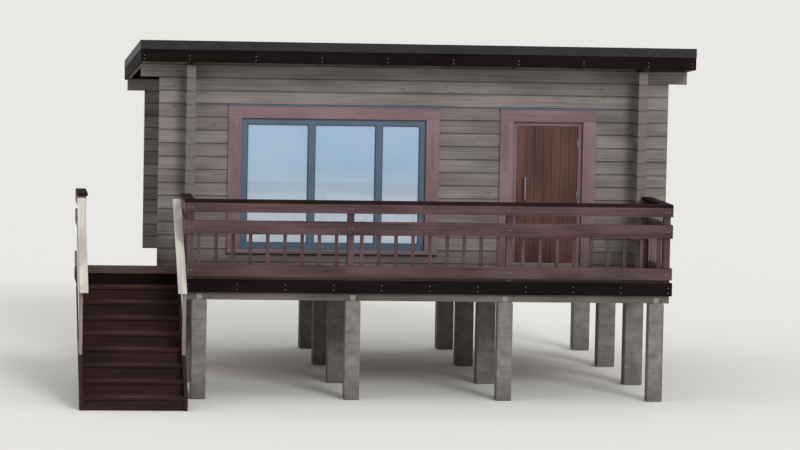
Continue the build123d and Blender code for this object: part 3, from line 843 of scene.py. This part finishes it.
# %% Lay the floor of the room
room_low, room_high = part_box("floor_boards")
room_rows = 36
tight_joint = 0.0005
pitch = (room_high.y - room_low.y) / room_rows
boards = start_piece()
for row in range(room_rows):
    low = (room_low.x, room_low.y + row * pitch, room_low.z)
    high = (room_high.x, room_low.y + (row + 1) * pitch - tight_joint, room_high.z)
    cut_board(boards, low, high, edge=0.0025)
finish_piece("room_floor_boards", boards, planed_floor_boards, ["floor_boards"])

# %% [markdown]
# ## Roof boards
#
# From below, and along the eaves, the roof is boards nailed across the rafters. They could be
# laid flat and the finished object tilted, but here every piece has its place in its mesh, as a
# CAD node does. So each board is turned about X by the pitch of the roof, which is read from the
# boards' box: how far it falls over its length, less the thickness of a board.

# %% Board the roof
roof_low, roof_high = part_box("roof_boards")
roof_board = 0.023
roof_rows = 46
roof_joint = 0.001
under_felt = 0.0004
end_margin = 0.003
fall = (roof_high.z - roof_low.z - roof_board) / (roof_high.y - roof_low.y)
slope = math.atan(fall)
lean = Matrix.Rotation(-slope, 4, "X")


def roof_height(y, above=0.0):
    # Height of the boards' under side at a place from front to back
    return roof_high.z - roof_board - fall * (y - roof_low.y) + above


pitch = (roof_high.y - roof_low.y - 2 * end_margin) / roof_rows
thickness = roof_board * math.cos(slope) - under_felt
width = pitch / math.cos(slope) - roof_joint
half = Vector((0, width / 2, thickness / 2))
boards = start_piece()
for row in range(roof_rows):
    y = roof_low.y + end_margin + (row + 0.5) * pitch
    middle = Vector((0, y, roof_height(y, roof_board / 2)))
    low = (roof_low.x, middle.y - half.y, middle.z - half.z)
    high = (roof_high.x, middle.y + half.y, middle.z + half.z)
    cut_board(boards, low, high, edge=0.004, turn=lean)
finish_piece("roof_boarding", boards, bare_roof_boards, ["roof_boards"])
print("the roof falls", round(math.degrees(slope), 2), "degrees to the back")

# %% [markdown]
# ## Laps of the felt
#
# Felt comes in rolls a metre wide, laid along the roof from its low side up, each sheet over the
# one below by 100 mm. The laps could be drawn as darker lines, but they are all that breaks up the
# roof, and only a real edge catches the light. So each is a thin strip on top of the CAD sheet.

# %% Lay the laps
felt_low, felt_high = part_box("roof_felt")
felt_thickness = 0.006
roll_width = 1.0
lap_width = 0.1
lap_height = 0.004
lap_margin = 0.001
laps = start_piece()
lap_y = felt_high.y - roll_width
lap_count = 0
while lap_y > felt_low.y + 2 * lap_width:
    top = roof_height(lap_y, roof_board + felt_thickness)
    low = (felt_low.x + lap_margin, lap_y - lap_width / 2, top - lap_margin)
    high = (felt_high.x - lap_margin, lap_y + lap_width / 2, top + lap_height)
    cut_board(laps, low, high, edge=0.0018, turn=lean)
    lap_y -= roll_width - lap_width
    lap_count += 1
finish_piece("felt_laps", laps, felt)
print("the felt has", lap_count, "laps")

# %% [markdown]
# ## Treads of the steps
#
# Each tread is two boards side by side with a gap that lets water and grit through. A line drawn
# on one wide board would do from above, but not from below. The front board takes every foot, so
# it is rounded more than a deck board. The back one butts against the riser and stays sharp, or
# else daylight would show under the riser.

# %% Make the treads
tread_depth = 0.3147
tread_thickness = 0.040
treads = start_piece()
for step in range(1, risers):
    front = tread_low.y + (step - 1) * going
    top = step * rise
    middle = front + tread_depth / 2
    for start, end, rounding in (
        (front, middle - BOARD_GAP / 2, 0.006),
        (middle + BOARD_GAP / 2, front + tread_depth, 0.0006),
    ):
        low = (tread_low.x, start, top - tread_thickness)
        high = (tread_high.x, end, top)
        cut_board(treads, low, high, edge=rounding, segments=2)
finish_piece("tread_boards", treads, steps_stain_and_shade_x, ["stair_treads"])

# %% [markdown]
# ## The door leaf
#
# A plank door is upright boards with a V at each joint, held by ledges on the inside. The CAD
# leaf is a plain slab of the same size. Its joints could be painted on, but at a door people
# stand close, so the boards are real.

# %% Hang the boards of the door
leaf_low, leaf_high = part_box("front_door")
leaf_height = leaf_high.z - leaf_low.z
planks = 7
plank_width = (leaf_high.x - leaf_low.x) / planks
ledge_thickness = 0.018
ledge_half_width = 0.06
ledge_inset = 0.05
ledge_shares = (0.12, 0.5, 0.88)
leaf = start_piece()
for plank in range(planks):
    low = (leaf_low.x + plank * plank_width, leaf_low.y, leaf_low.z)
    right = leaf_low.x + (plank + 1) * plank_width - 0.0004
    cut_board(leaf, low, (right, leaf_high.y - ledge_thickness, leaf_high.z), edge=0.005)
for share_up in ledge_shares:
    height = leaf_low.z + share_up * leaf_height
    low = (leaf_low.x + ledge_inset, leaf_high.y - ledge_thickness, height - ledge_half_width)
    high = (leaf_high.x - ledge_inset, leaf_high.y, height + ledge_half_width)
    cut_board(leaf, low, high, edge=0.003)
finish_piece("door_planks", leaf, brown_door_stain, ["front_door"])

# %% [markdown]
# ## Glazing beads and seals
#
# Each sealed unit is held by beads round the inside of its opening, on both faces, with a thin
# black seal against the glass. They are what makes a pane look set in rather than painted on. They
# could be cut out of the frame itself, but separate strips leave the CAD frame as it is.

# %% Frame the three panes
frame_low, frame_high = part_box("window_frame")
glass_low, glass_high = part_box("window_glass")
frame_bar = 0.080
pane_widths = (0.836, 0.836, 0.520)
set_back = 0.008
bead = 0.012
seal = 0.003


def ring_of_boards(mesh, left, right, bottom, top, width, y_from, y_to, edge):
    # Two long boards at the foot and the head, and two upright ones between them
    cut_board(mesh, (left, y_from, bottom), (right, y_to, bottom + width), edge)
    cut_board(mesh, (left, y_from, top - width), (right, y_to, top), edge)
    cut_board(mesh, (left, y_from, bottom + width), (left + width, y_to, top - width), edge)
    cut_board(mesh, (right - width, y_from, bottom + width), (right, y_to, top - width), edge)


beads, seals = start_piece(), start_piece()
pane_left = frame_low.x + frame_bar
pane_bottom, pane_top = frame_low.z + frame_bar, frame_high.z - frame_bar
for pane_width in pane_widths:
    opening = (pane_left, pane_left + pane_width, pane_bottom, pane_top)
    for outer, inner in (
        (frame_low.y + set_back, glass_low.y - seal),
        (glass_high.y + seal, frame_high.y - set_back),
    ):
        ring_of_boards(beads, *opening, bead, outer, inner, 0.003)
    for outer, inner in ((glass_low.y - seal, glass_low.y), (glass_high.y, glass_high.y + seal)):
        ring_of_boards(seals, *opening, bead + seal, outer, inner, 0.0008)
    pane_left += pane_width + frame_bar
black_rubber = coated_sheet("black_rubber_seal", "141414", "222222", 0.7)
finish_piece("glazing_beads", beads, frame_coat_and_sky_tint)
finish_piece("glazing_seals", seals, black_rubber)

# %% [markdown]
# ## Drip strips over the window and the door
#
# A bent strip of coated sheet lies on each head board, with a lip in front that throws the rain
# clear, and another covers the sill under the panes. Without them water would creep in behind the
# boards. They are two millimetres thick, so each is only a flat plate and a lip.

# %% Cover the heads and the sill
casing_front = front_face - rail_board
sheet = 0.002
strip_front = casing_front - 0.010
lip_foot = 0.016
strip_end = 0.005
sill_reach = 0.045
strips = start_piece()
for trim in ("window_trim", "door_trim"):
    trim_low, trim_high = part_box(trim)
    left, right = trim_low.x - strip_end, trim_high.x + strip_end
    top = trim_high.z + sheet
    cut_board(strips, (left, strip_front, trim_high.z), (right, front_face, top), edge=0.0005)
    lip_low = (left, strip_front - sheet, trim_high.z - lip_foot)
    cut_board(strips, lip_low, (right, strip_front, top), edge=0.0005)
low = (frame_low.x, front_face - sill_reach, frame_low.z)
cut_board(strips, low, (frame_high.x, frame_low.y, frame_low.z + sheet), edge=0.0005)
finish_piece("drip_strips", strips, frame_coat_and_sky_tint)

# %% [markdown]
# ## Where the piers stand
#
# Twelve piers carry the cabin and eight the deck and the landing. Their places could be read off a
# plan, but they follow from the bearers: evenly spaced along each, and in from its ends.

# %% Find the piers
beams_low, beams_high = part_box("cabin_bearers")
bearers_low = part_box("deck_bearers")[0]
half_bearer = 0.050
pier_inset = 0.200
bearer_set_in = 0.083
landing_bearer = landing_front + bearer_set_in + half_bearer
beam_places = [
    (x, y, beams_low.z)
    for x in evenly(beams_low.x + half_wall, beams_high.x - half_wall, 4)
    for y in evenly(beams_low.y + half_wall, beams_high.y - half_wall, 3)
]
bearer_places = [
    (x, bearers_low.y + half_bearer, bearers_low.z)
    for x in evenly(deck_left + pier_inset, deck_right - pier_inset, 4)
]
bearer_places += [
    (x, y, bearers_low.z)
    for x in (landing_left + pier_inset, deck_left - pier_inset)
    for y in (landing_bearer, front_face - half_bearer)
]
print("the cabin stands on", len(beam_places), "piers and the deck on", len(bearer_places))

# %% [markdown]
# ## Steel angles on the piers
#
# The bearers are held to the piers by galvanised steel angles, one on each side. They hardly show
# from the front, but they explain how the deck stands up. An angle could be one bent plate, but
# two plates that meet at a right angle look the same.

# %% Fit the angles
ANGLE_THICKNESS = 0.004
ANGLE_WIDTH = 0.07
BEAM_ANGLE = (0.055, 0.110)
BEARER_ANGLE = (0.042, 0.075)


def fit_angle(mesh, x, y, z, leg, height):
    # The corner is where the bearer's side meets the pier. A negative leg points to the front
    flat = sorted((y, y + leg))
    upright = sorted((y, y + math.copysign(ANGLE_THICKNESS, leg)))
    low_x, high_x = x - ANGLE_WIDTH / 2, x + ANGLE_WIDTH / 2
    bend = z + ANGLE_THICKNESS
    cut_board(mesh, (low_x, flat[0], z), (high_x, flat[1], bend), edge=0.001)
    cut_board(mesh, (low_x, upright[0], bend), (high_x, upright[1], z + height), edge=0.001)


steel_angles = start_piece()
for places, half, (leg, height) in (
    (beam_places, half_wall, BEAM_ANGLE),
    (bearer_places, half_bearer, BEARER_ANGLE),
):
    for x, y, z in places:
        for side in (-1, 1):
            fit_angle(steel_angles, x, y + side * half, z, side * leg, height)
print("steel angles on", len(beam_places) + len(bearer_places), "piers")

# %% [markdown]
# ## Piers with their corners taken off
#
# A concrete pier never has a sharp corner: a strip of wood in each corner of its mould leaves a
# flat of about 12 mm, which keeps the corner from breaking. The CAD piers are plain, so each is
# made again as a bevelled block of the same size.

# %% Cast the piers
cabin_pier = 0.250
deck_pier = 0.200
pier_corner = 0.012
piers = start_piece()
for places, side in ((beam_places, cabin_pier), (bearer_places, deck_pier)):
    for x, y, z in places:
        low = (x - side / 2, y - side / 2, 0.0)
        cut_board(piers, low, (x + side / 2, y + side / 2, z), edge=pier_corner)
finish_piece("cast_piers", piers, concrete, ["concrete_piers"])

# %% [markdown]
# ## Shoes for the joists
#
# The deck's joists hang from the wall in folded steel shoes: a plate below, a cheek on each side
# and a wing that is nailed to the ledger. Folding one sheet would be closer to how they are made,
# but five plates that meet at right angles look the same and stay easy to measure.

# %% Hang the joists
ledger_front = front_face - joist_width
shoe = 0.0025
shoe_depth = 0.06
shoe_height = 0.11
shoe_top = joist_bottom + shoe_height
wing_width = 0.035
shoe_back = ledger_front - shoe_depth
outer = half_joist + shoe
for x in deck_joists[1:-1]:
    low = (x - outer, shoe_back, joist_bottom - shoe)
    cut_board(steel_angles, low, (x + outer, ledger_front, joist_bottom), edge=0.0008)
    for side in (-1, 1):
        cheek = sorted((x + side * half_joist, x + side * outer))
        wing = sorted((x + side * outer, x + side * (outer + wing_width)))
        low, high = (cheek[0], shoe_back, joist_bottom), (cheek[1], ledger_front, shoe_top)
        cut_board(steel_angles, low, high, edge=0.0008)
        low, high = (wing[0], ledger_front - shoe, joist_bottom), (wing[1], ledger_front, shoe_top)
        cut_board(steel_angles, low, high, edge=0.0008)
finish_piece("steel_angles_and_shoes", steel_angles, zinc_steel)

# %% [markdown]
# ## Hinges, key plate and threshold
#
# The door opens outwards, so the knuckles of its three hinges show on the right edge. A hinge
# could be one cylinder, but a real one is five knuckles on a pin, and the dark lines between them
# are what makes it read as a hinge. The round key plate sits under the handle, and a steel nosing
# takes the wear on the threshold.

# %% Furnish the door
furniture = start_piece()
handle_low, handle_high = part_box("door_handle")
door_low, door_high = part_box("door_frame")
knuckles = 5
knuckle = 0.022
knuckle_radius = 0.009
knuckle_joint = 0.0015
hinge_inset = 0.22
hinge_x = leaf_high.x + 0.002
hinge_y = leaf_low.y - 0.005
nosing = 0.002
under_leaf = 0.001
key_plate_below = 0.09
key_plate_radii = (0.027, 0.024)
key_plate_thickness = 0.006
for middle in (leaf_low.z + hinge_inset, leaf_low.z + leaf_height / 2, leaf_high.z - hinge_inset):
    for count in range(knuckles):
        up = middle + (count - (knuckles - 1) / 2) * knuckle
        bmesh.ops.create_cone(
            furniture,
            cap_ends=True,
            segments=20,
            radius1=knuckle_radius,
            radius2=knuckle_radius,
            depth=knuckle - knuckle_joint,
            matrix=Matrix.Translation((hinge_x, hinge_y, up)),
        )
key_x = (handle_low.x + handle_high.x) / 2
key_y = leaf_low.y - key_plate_thickness / 2
key_place = Vector((key_x, key_y, handle_low.z - key_plate_below))
bmesh.ops.create_cone(
    furniture,
    cap_ends=True,
    segments=32,
    radius1=key_plate_radii[0],
    radius2=key_plate_radii[1],
    depth=key_plate_thickness,
    matrix=Matrix.Translation(key_place) @ Matrix.Rotation(math.radians(90), 4, "X"),
)
low = (door_low.x, door_low.y - nosing, door_low.z)
cut_board(furniture, low, (door_high.x, door_low.y, leaf_low.z - under_leaf), edge=0.0005)
finish_piece("door_furniture", furniture, handle_steel)

# %% [markdown]
# ## The head of a screw or bolt
#
# A screw could have its thread and its cross, but only its head shows, and there are hundreds of
# them. So a head is a low cone with few sides, turned to look the way that its board does.

# %% Make a head
HEAD_TURNS = {
    "Z": Matrix.Identity(4),
    "-Y": Matrix.Rotation(math.radians(90), 4, "X"),
    "Y": Matrix.Rotation(math.radians(-90), 4, "X"),
    "-X": Matrix.Rotation(math.radians(-90), 4, "Y"),
    "X": Matrix.Rotation(math.radians(90), 4, "Y"),
}
HEAD_TAPER = 0.8


def set_head(mesh, place, size, facing="Z"):
    # A low cone on its broad base. Its size is a radius, a height and a number of sides, and
    # facing is the way that the head looks
    radius, height, sides = size
    turn = HEAD_TURNS[facing]
    bmesh.ops.create_cone(
        mesh,
        cap_ends=True,
        segments=sides,
        radius1=radius,
        radius2=radius * HEAD_TAPER,
        depth=height,
        matrix=Matrix.Translation(place) @ turn,
    )


print("heads can look", len(HEAD_TURNS), "ways")

# %% [markdown]
# ## Screws in the deck, the steps and the handrails
#
# Two screws fix each deck board to each joist, eight each tread to its strings, and two the flat
# handrail to each post in front. They could be left out from this far, but seen from close by, rows
# of screws are what shows where the joists lie. They stand less than a millimetre proud.

# %% Set the screws
DECK_SCREW = (0.0045, 0.002, 6)
TREAD_SCREW = (0.005, 0.002, 6)
CAP_SCREW = (0.006, 0.002, 6)
SUNK = 0.0002
DECK_SCREW_ASIDE = 0.035
CAP_SCREW_ASIDE = 0.02
TREAD_SCREW_INSET = 0.04
TREAD_SCREW_SHARES = (0.12, 0.38, 0.62, 0.86)
post_half = 0.045


def screw_rows(mesh, front, pitch, rows, places):
    for row in range(rows):
        middle = front + (row + 0.5) * pitch
        for x in places:
            for side in (-DECK_SCREW_ASIDE, DECK_SCREW_ASIDE):
                set_head(mesh, (x, middle + side, deck_top - SUNK), DECK_SCREW)


screws = bmesh.new()
outer_joist_in = 0.05
inner_joist_short = 0.024
landing_joists = evenly(landing_left + outer_joist_in, deck_left - inner_joist_short, 3)
screw_rows(screws, floor_low.y, deck_pitch, deck_rows, deck_joists)
screw_rows(screws, landing_front, landing_pitch, landing_rows, landing_joists)
for step in range(1, risers):
    front = tread_low.y + (step - 1) * going
    for x in (tread_low.x + TREAD_SCREW_INSET, tread_high.x - TREAD_SCREW_INSET):
        for share in TREAD_SCREW_SHARES:
            place = (x, front + share * tread_depth, step * rise - SUNK)
            set_head(screws, place, TREAD_SCREW)
cap_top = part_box("deck_handrails")[1].z
post_inset = rail_board + post_half
post_line = rim_low.y + rail_board + post_inset
front_posts = evenly(deck_left + post_inset, deck_right - post_inset, 4)
for x in front_posts:
    for side in (-CAP_SCREW_ASIDE, CAP_SCREW_ASIDE):
        set_head(screws, (x + side, post_line, cap_top - SUNK), CAP_SCREW)
finish_piece("deck_screws", screws, zinc_steel)

# %% [markdown]
# ## Bolts in the railings and the posts of the steps
#
# Two bolts hold each rail to each post, and two more hold each post of the steps to its string.
# On the landing's railing and on the posts of the steps the heads could be on either side. They
# are on the inner one, so that nothing stands out past the building.

# %% Bolt the railings and the posts
RAIL_BOLT = (0.009, 0.006, 8)
STRING_BOLT = (0.008, 0.006, 8)
BOLT_ASIDE = 0.022
OFF_FACE = 0.001
post_foot_bolt = 0.11
bolts = bmesh.new()
for x in front_posts:
    for z in rail_middles:
        for side in (-BOLT_ASIDE, BOLT_ASIDE):
            place = (x + side, rim_low.y + rail_board - OFF_FACE, deck_top + z)
            set_head(bolts, place, RAIL_BOLT, "-Y")
for panel, facing in (
    ("deck_left_railing", "-X"),
    ("deck_right_railing", "X"),
    ("landing_railing", "X"),
):
    panel_low, panel_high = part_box(panel)
    face_x = panel_low.x - OFF_FACE if facing == "-X" else panel_high.x + OFF_FACE
    for y in (panel_low.y + post_half, panel_high.y - post_half):
        for z in rail_middles:
            for side in (-BOLT_ASIDE, BOLT_ASIDE):
                set_head(bolts, (face_x, y + side, deck_top + z), RAIL_BOLT, facing)

stair_posts_low, stair_posts_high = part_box("stair_posts")
post_y = (stair_posts_low.y + stair_posts_high.y) / 2
string_thickness = 0.045
for x, facing in (
    (stair_posts_low.x + string_thickness + OFF_FACE, "X"),
    (stair_posts_high.x - string_thickness - OFF_FACE, "-X"),
):
    for side in (-BOLT_ASIDE, BOLT_ASIDE):
        place = (x, post_y + side, stair_posts_low.z + post_foot_bolt)
        set_head(bolts, place, STRING_BOLT, facing)
print("the railings and posts have", len(bolts.verts) // (2 * RAIL_BOLT[2]), "bolts")

# %% [markdown]
# ## Bolts in the steel angles
#
# Each angle is bolted to its bearer, and those of the cabin, which carry more, to the pier too.
# The heads sit on the steel, so they are set out by its thickness.

# %% Bolt the angles
BEAM_BOLT = (0.010, 0.008, 8)
BEARER_BOLT = (0.009, 0.008, 8)
beam_bolt_up = 0.075
beam_bolt_out = 0.035
beam_bolt_seat = 0.002
bearer_bolt_up = 0.052
for x, y, z in beam_places:
    for side, facing in ((-1, "-Y"), (1, "Y")):
        face = y + side * (half_wall + ANGLE_THICKNESS)
        set_head(bolts, (x, face, z + beam_bolt_up), BEAM_BOLT, facing)
        leg_y = y + side * (half_wall + beam_bolt_out)
        set_head(bolts, (x, leg_y, z + ANGLE_THICKNESS + beam_bolt_seat), BEAM_BOLT)
for x, y, z in bearer_places:
    for side, facing in ((-1, "-Y"), (1, "Y")):
        face = y + side * (half_bearer + ANGLE_THICKNESS)
        set_head(bolts, (x, face, z + bearer_bolt_up), BEARER_BOLT, facing)
finish_piece("bolts", bolts, zinc_steel)

# %% [markdown]
# ## Screws in the fascias, rim boards and casings
#
# The fascias are screwed to the end of every rafter, the verge boards along the outer rafters,
# the rim of the deck to the ends of its joists, and the casings to the logs. They could be dots
# in the stain, but a real head catches the light. It is 12 mm across and drawn a little larger.

# %% Screw on the boards
BOARD_SCREW = (0.007, 0.003, 8)
PROUD = 0.0005
half_rafter = 0.0225
fascia_depth = 0.220
screw_heights = (0.035, 0.085)
rim_screw_heights = (0.040, 0.105)
verge_inset = 0.15
casing_inset = 0.10
casing_aside = 0.05
fascia_low, fascia_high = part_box("eaves_fascias")
verge_low, verge_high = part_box("verge_boards")
board_screws = bmesh.new()


def screw_board(x, y, z, facing):
    set_head(board_screws, (x, y, z), BOARD_SCREW, facing)


rafter_lines = evenly(left_face + half_rafter, right_face - half_rafter, 8)
rafter_lines.append(fascia_low.x + rail_board + half_rafter)
rafter_lines.append(fascia_high.x - rail_board - half_rafter)
front_foot = roof_height(fascia_low.y) - fascia_depth
back_foot = roof_height(fascia_high.y) - fascia_depth
for x in rafter_lines:
    for up in screw_heights:
        screw_board(x, fascia_low.y - PROUD, front_foot + up, "-Y")
        screw_board(x, fascia_high.y + PROUD, back_foot + up, "Y")
for y in evenly(verge_low.y + verge_inset, verge_high.y - verge_inset, 9):
    for up in screw_heights:
        height = roof_height(y) - fascia_depth + up
        screw_board(verge_low.x - PROUD, y, height, "-X")
        screw_board(verge_high.x + PROUD, y, height, "X")
for x in deck_joists:
    for up in rim_screw_heights:
        screw_board(x, rim_low.y - PROUD, joist_bottom + up, "-Y")
for trim, foot in (("window_trim", 0.20), ("door_trim", 0.12)):
    low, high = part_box(trim)
    for x in (low.x + casing_width / 2, high.x - casing_width / 2):
        for z in evenly(low.z + foot, high.z - casing_width - casing_inset, 5):
            for side in (-casing_aside, casing_aside):
                screw_board(x + side, casing_front - PROUD, z, "-Y")
    for x in evenly(low.x + casing_inset, high.x - casing_inset, 6):
        screw_board(x, casing_front - PROUD, high.z - casing_width / 2, "-Y")
finish_piece("board_screws", board_screws, zinc_steel)

# %% [markdown]
# ## The floor
#
# The floor is plain and pale and reaches so far that it fills the picture behind the cabin. A
# separate backdrop could do that, but its foot would show as a line from some sides.

# %% Lay the floor of the studio
FLOOR_HALF = 900.0
ground = bmesh.new()
bmesh.ops.create_grid(ground, x_segments=1, y_segments=1, size=FLOOR_HALF)
ground_data = bpy.data.meshes.new("studio_floor")
ground.to_mesh(ground_data)
ground.free()
floor_finish, _, floor_shader = start_material("pale_studio_floor")
floor_shader.inputs["Base Color"].default_value = linear("e9e8e5")
floor_shader.inputs["Roughness"].default_value = 0.95
floor_shader.inputs["Specular IOR Level"].default_value = 0.1
ground_data.materials.append(floor_finish)
studio_floor = bpy.data.objects.new("studio_floor", ground_data)
scene = bpy.context.scene
scene.collection.objects.link(studio_floor)
studio_floor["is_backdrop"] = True
print("the floor is", round(2 * FLOOR_HALF), "metres wide")

# %% [markdown]
# ## The light
#
# The sky lights evenly from everywhere, and one broad, low sun from the front and right gives form
# and a soft shadow. Two lamps close by could do the same, but their light would fade over the
# floor. Both are weak enough that a colour renders about as it is written.

# %% Light the cabin
scene.view_settings.view_transform = "Standard"
world = bpy.data.worlds.new("even_sky")
world.use_nodes = True
scene.world = world
sky = world.node_tree.nodes["Background"]
sky.inputs["Color"].default_value = (1.0, 1.0, 1.0, 1.0)
sky.inputs["Strength"].default_value = 0.78

sun_data = bpy.data.lights.new("broad_sun", "SUN")
sun_data.energy = 1.6
sun_data.angle = math.radians(18)
sun = bpy.data.objects.new("broad_sun", sun_data)
scene.collection.objects.link(sun)
sun_from = Vector((0.3, -1.0, 0.5))
sun.rotation_euler = sun_from.to_track_quat("Z", "Y").to_euler()
print("sun stands", round(math.degrees(math.atan2(sun_from.z, sun_from.xy.length))), "degrees up")

# %% [markdown]
# ## The camera
#
# The picture was taken from fifty metres away, to the left of the cabin and a little above its
# roof. The camera stands at that spot, because a closer one would spread the lines of the deck. It
# keeps the small tilt that makes the level lines fall to the right, and a longer lens, worked out
# from the corners of the CAD box, brings the cabin up to the size of the frame.

# %% Place the camera
CAMERA_LEFT = 2.67
CAMERA_AWAY = 50.3
CAMERA_ABOVE_DECK = 4.2
CAMERA_TILT = math.radians(1.1)
MARGIN_WIDE, MARGIN_HIGH = 1.12, 1.18
FRAME_SHAPE = 16 / 9
camera_place = Vector(
    (deck_left - CAMERA_LEFT, front_face - CAMERA_AWAY, deck_top + CAMERA_ABOVE_DECK)
)
rays = [
    Vector((x, y, z)) - camera_place
    for x in (cad_low.x, cad_high.x)
    for y in (cad_low.y, cad_high.y)
    for z in (cad_low.z, cad_high.z)
]
bearings = [math.atan2(ray.x, ray.y) for ray in rays]
drops = [math.atan2(ray.z, math.hypot(ray.x, ray.y)) for ray in rays]
bearing = (min(bearings) + max(bearings)) / 2
drop = (min(drops) + max(drops)) / 2
level = math.cos(drop)
aim = Vector((math.sin(bearing) * level, math.cos(bearing) * level, math.sin(drop)))
wide = (max(bearings) - min(bearings)) * MARGIN_WIDE
high = (max(drops) - min(drops)) * MARGIN_HIGH
field = max(wide, high * FRAME_SHAPE)
camera_data = bpy.data.cameras.new("picture_camera")
camera = bpy.data.objects.new("picture_camera", camera_data)
scene.collection.objects.link(camera)
turn = aim.to_track_quat("-Z", "Y").to_matrix().to_4x4() @ Matrix.Rotation(CAMERA_TILT, 4, "Z")
camera.matrix_world = Matrix.Translation(camera_place) @ turn
camera_data.lens = camera_data.sensor_width / (2 * math.tan(field / 2))
camera_data.clip_end = 3000.0
scene.camera = camera
print("the lens is", round(camera_data.lens), "mm, for", round(math.degrees(field), 1), "degrees")

# %% [markdown]
#
# A dressed cabin that outgrew its CAD model would no longer fit its place in a scene. The top
# corner of the box of all that shows now is held against that of the bare frame, and the largest
# difference is printed.

shown_low, shown_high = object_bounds()
past = max(abs(side) for side in shown_high - cad_high)
print("the shown box is within", round(past * 1000, 2), "mm of the CAD box")
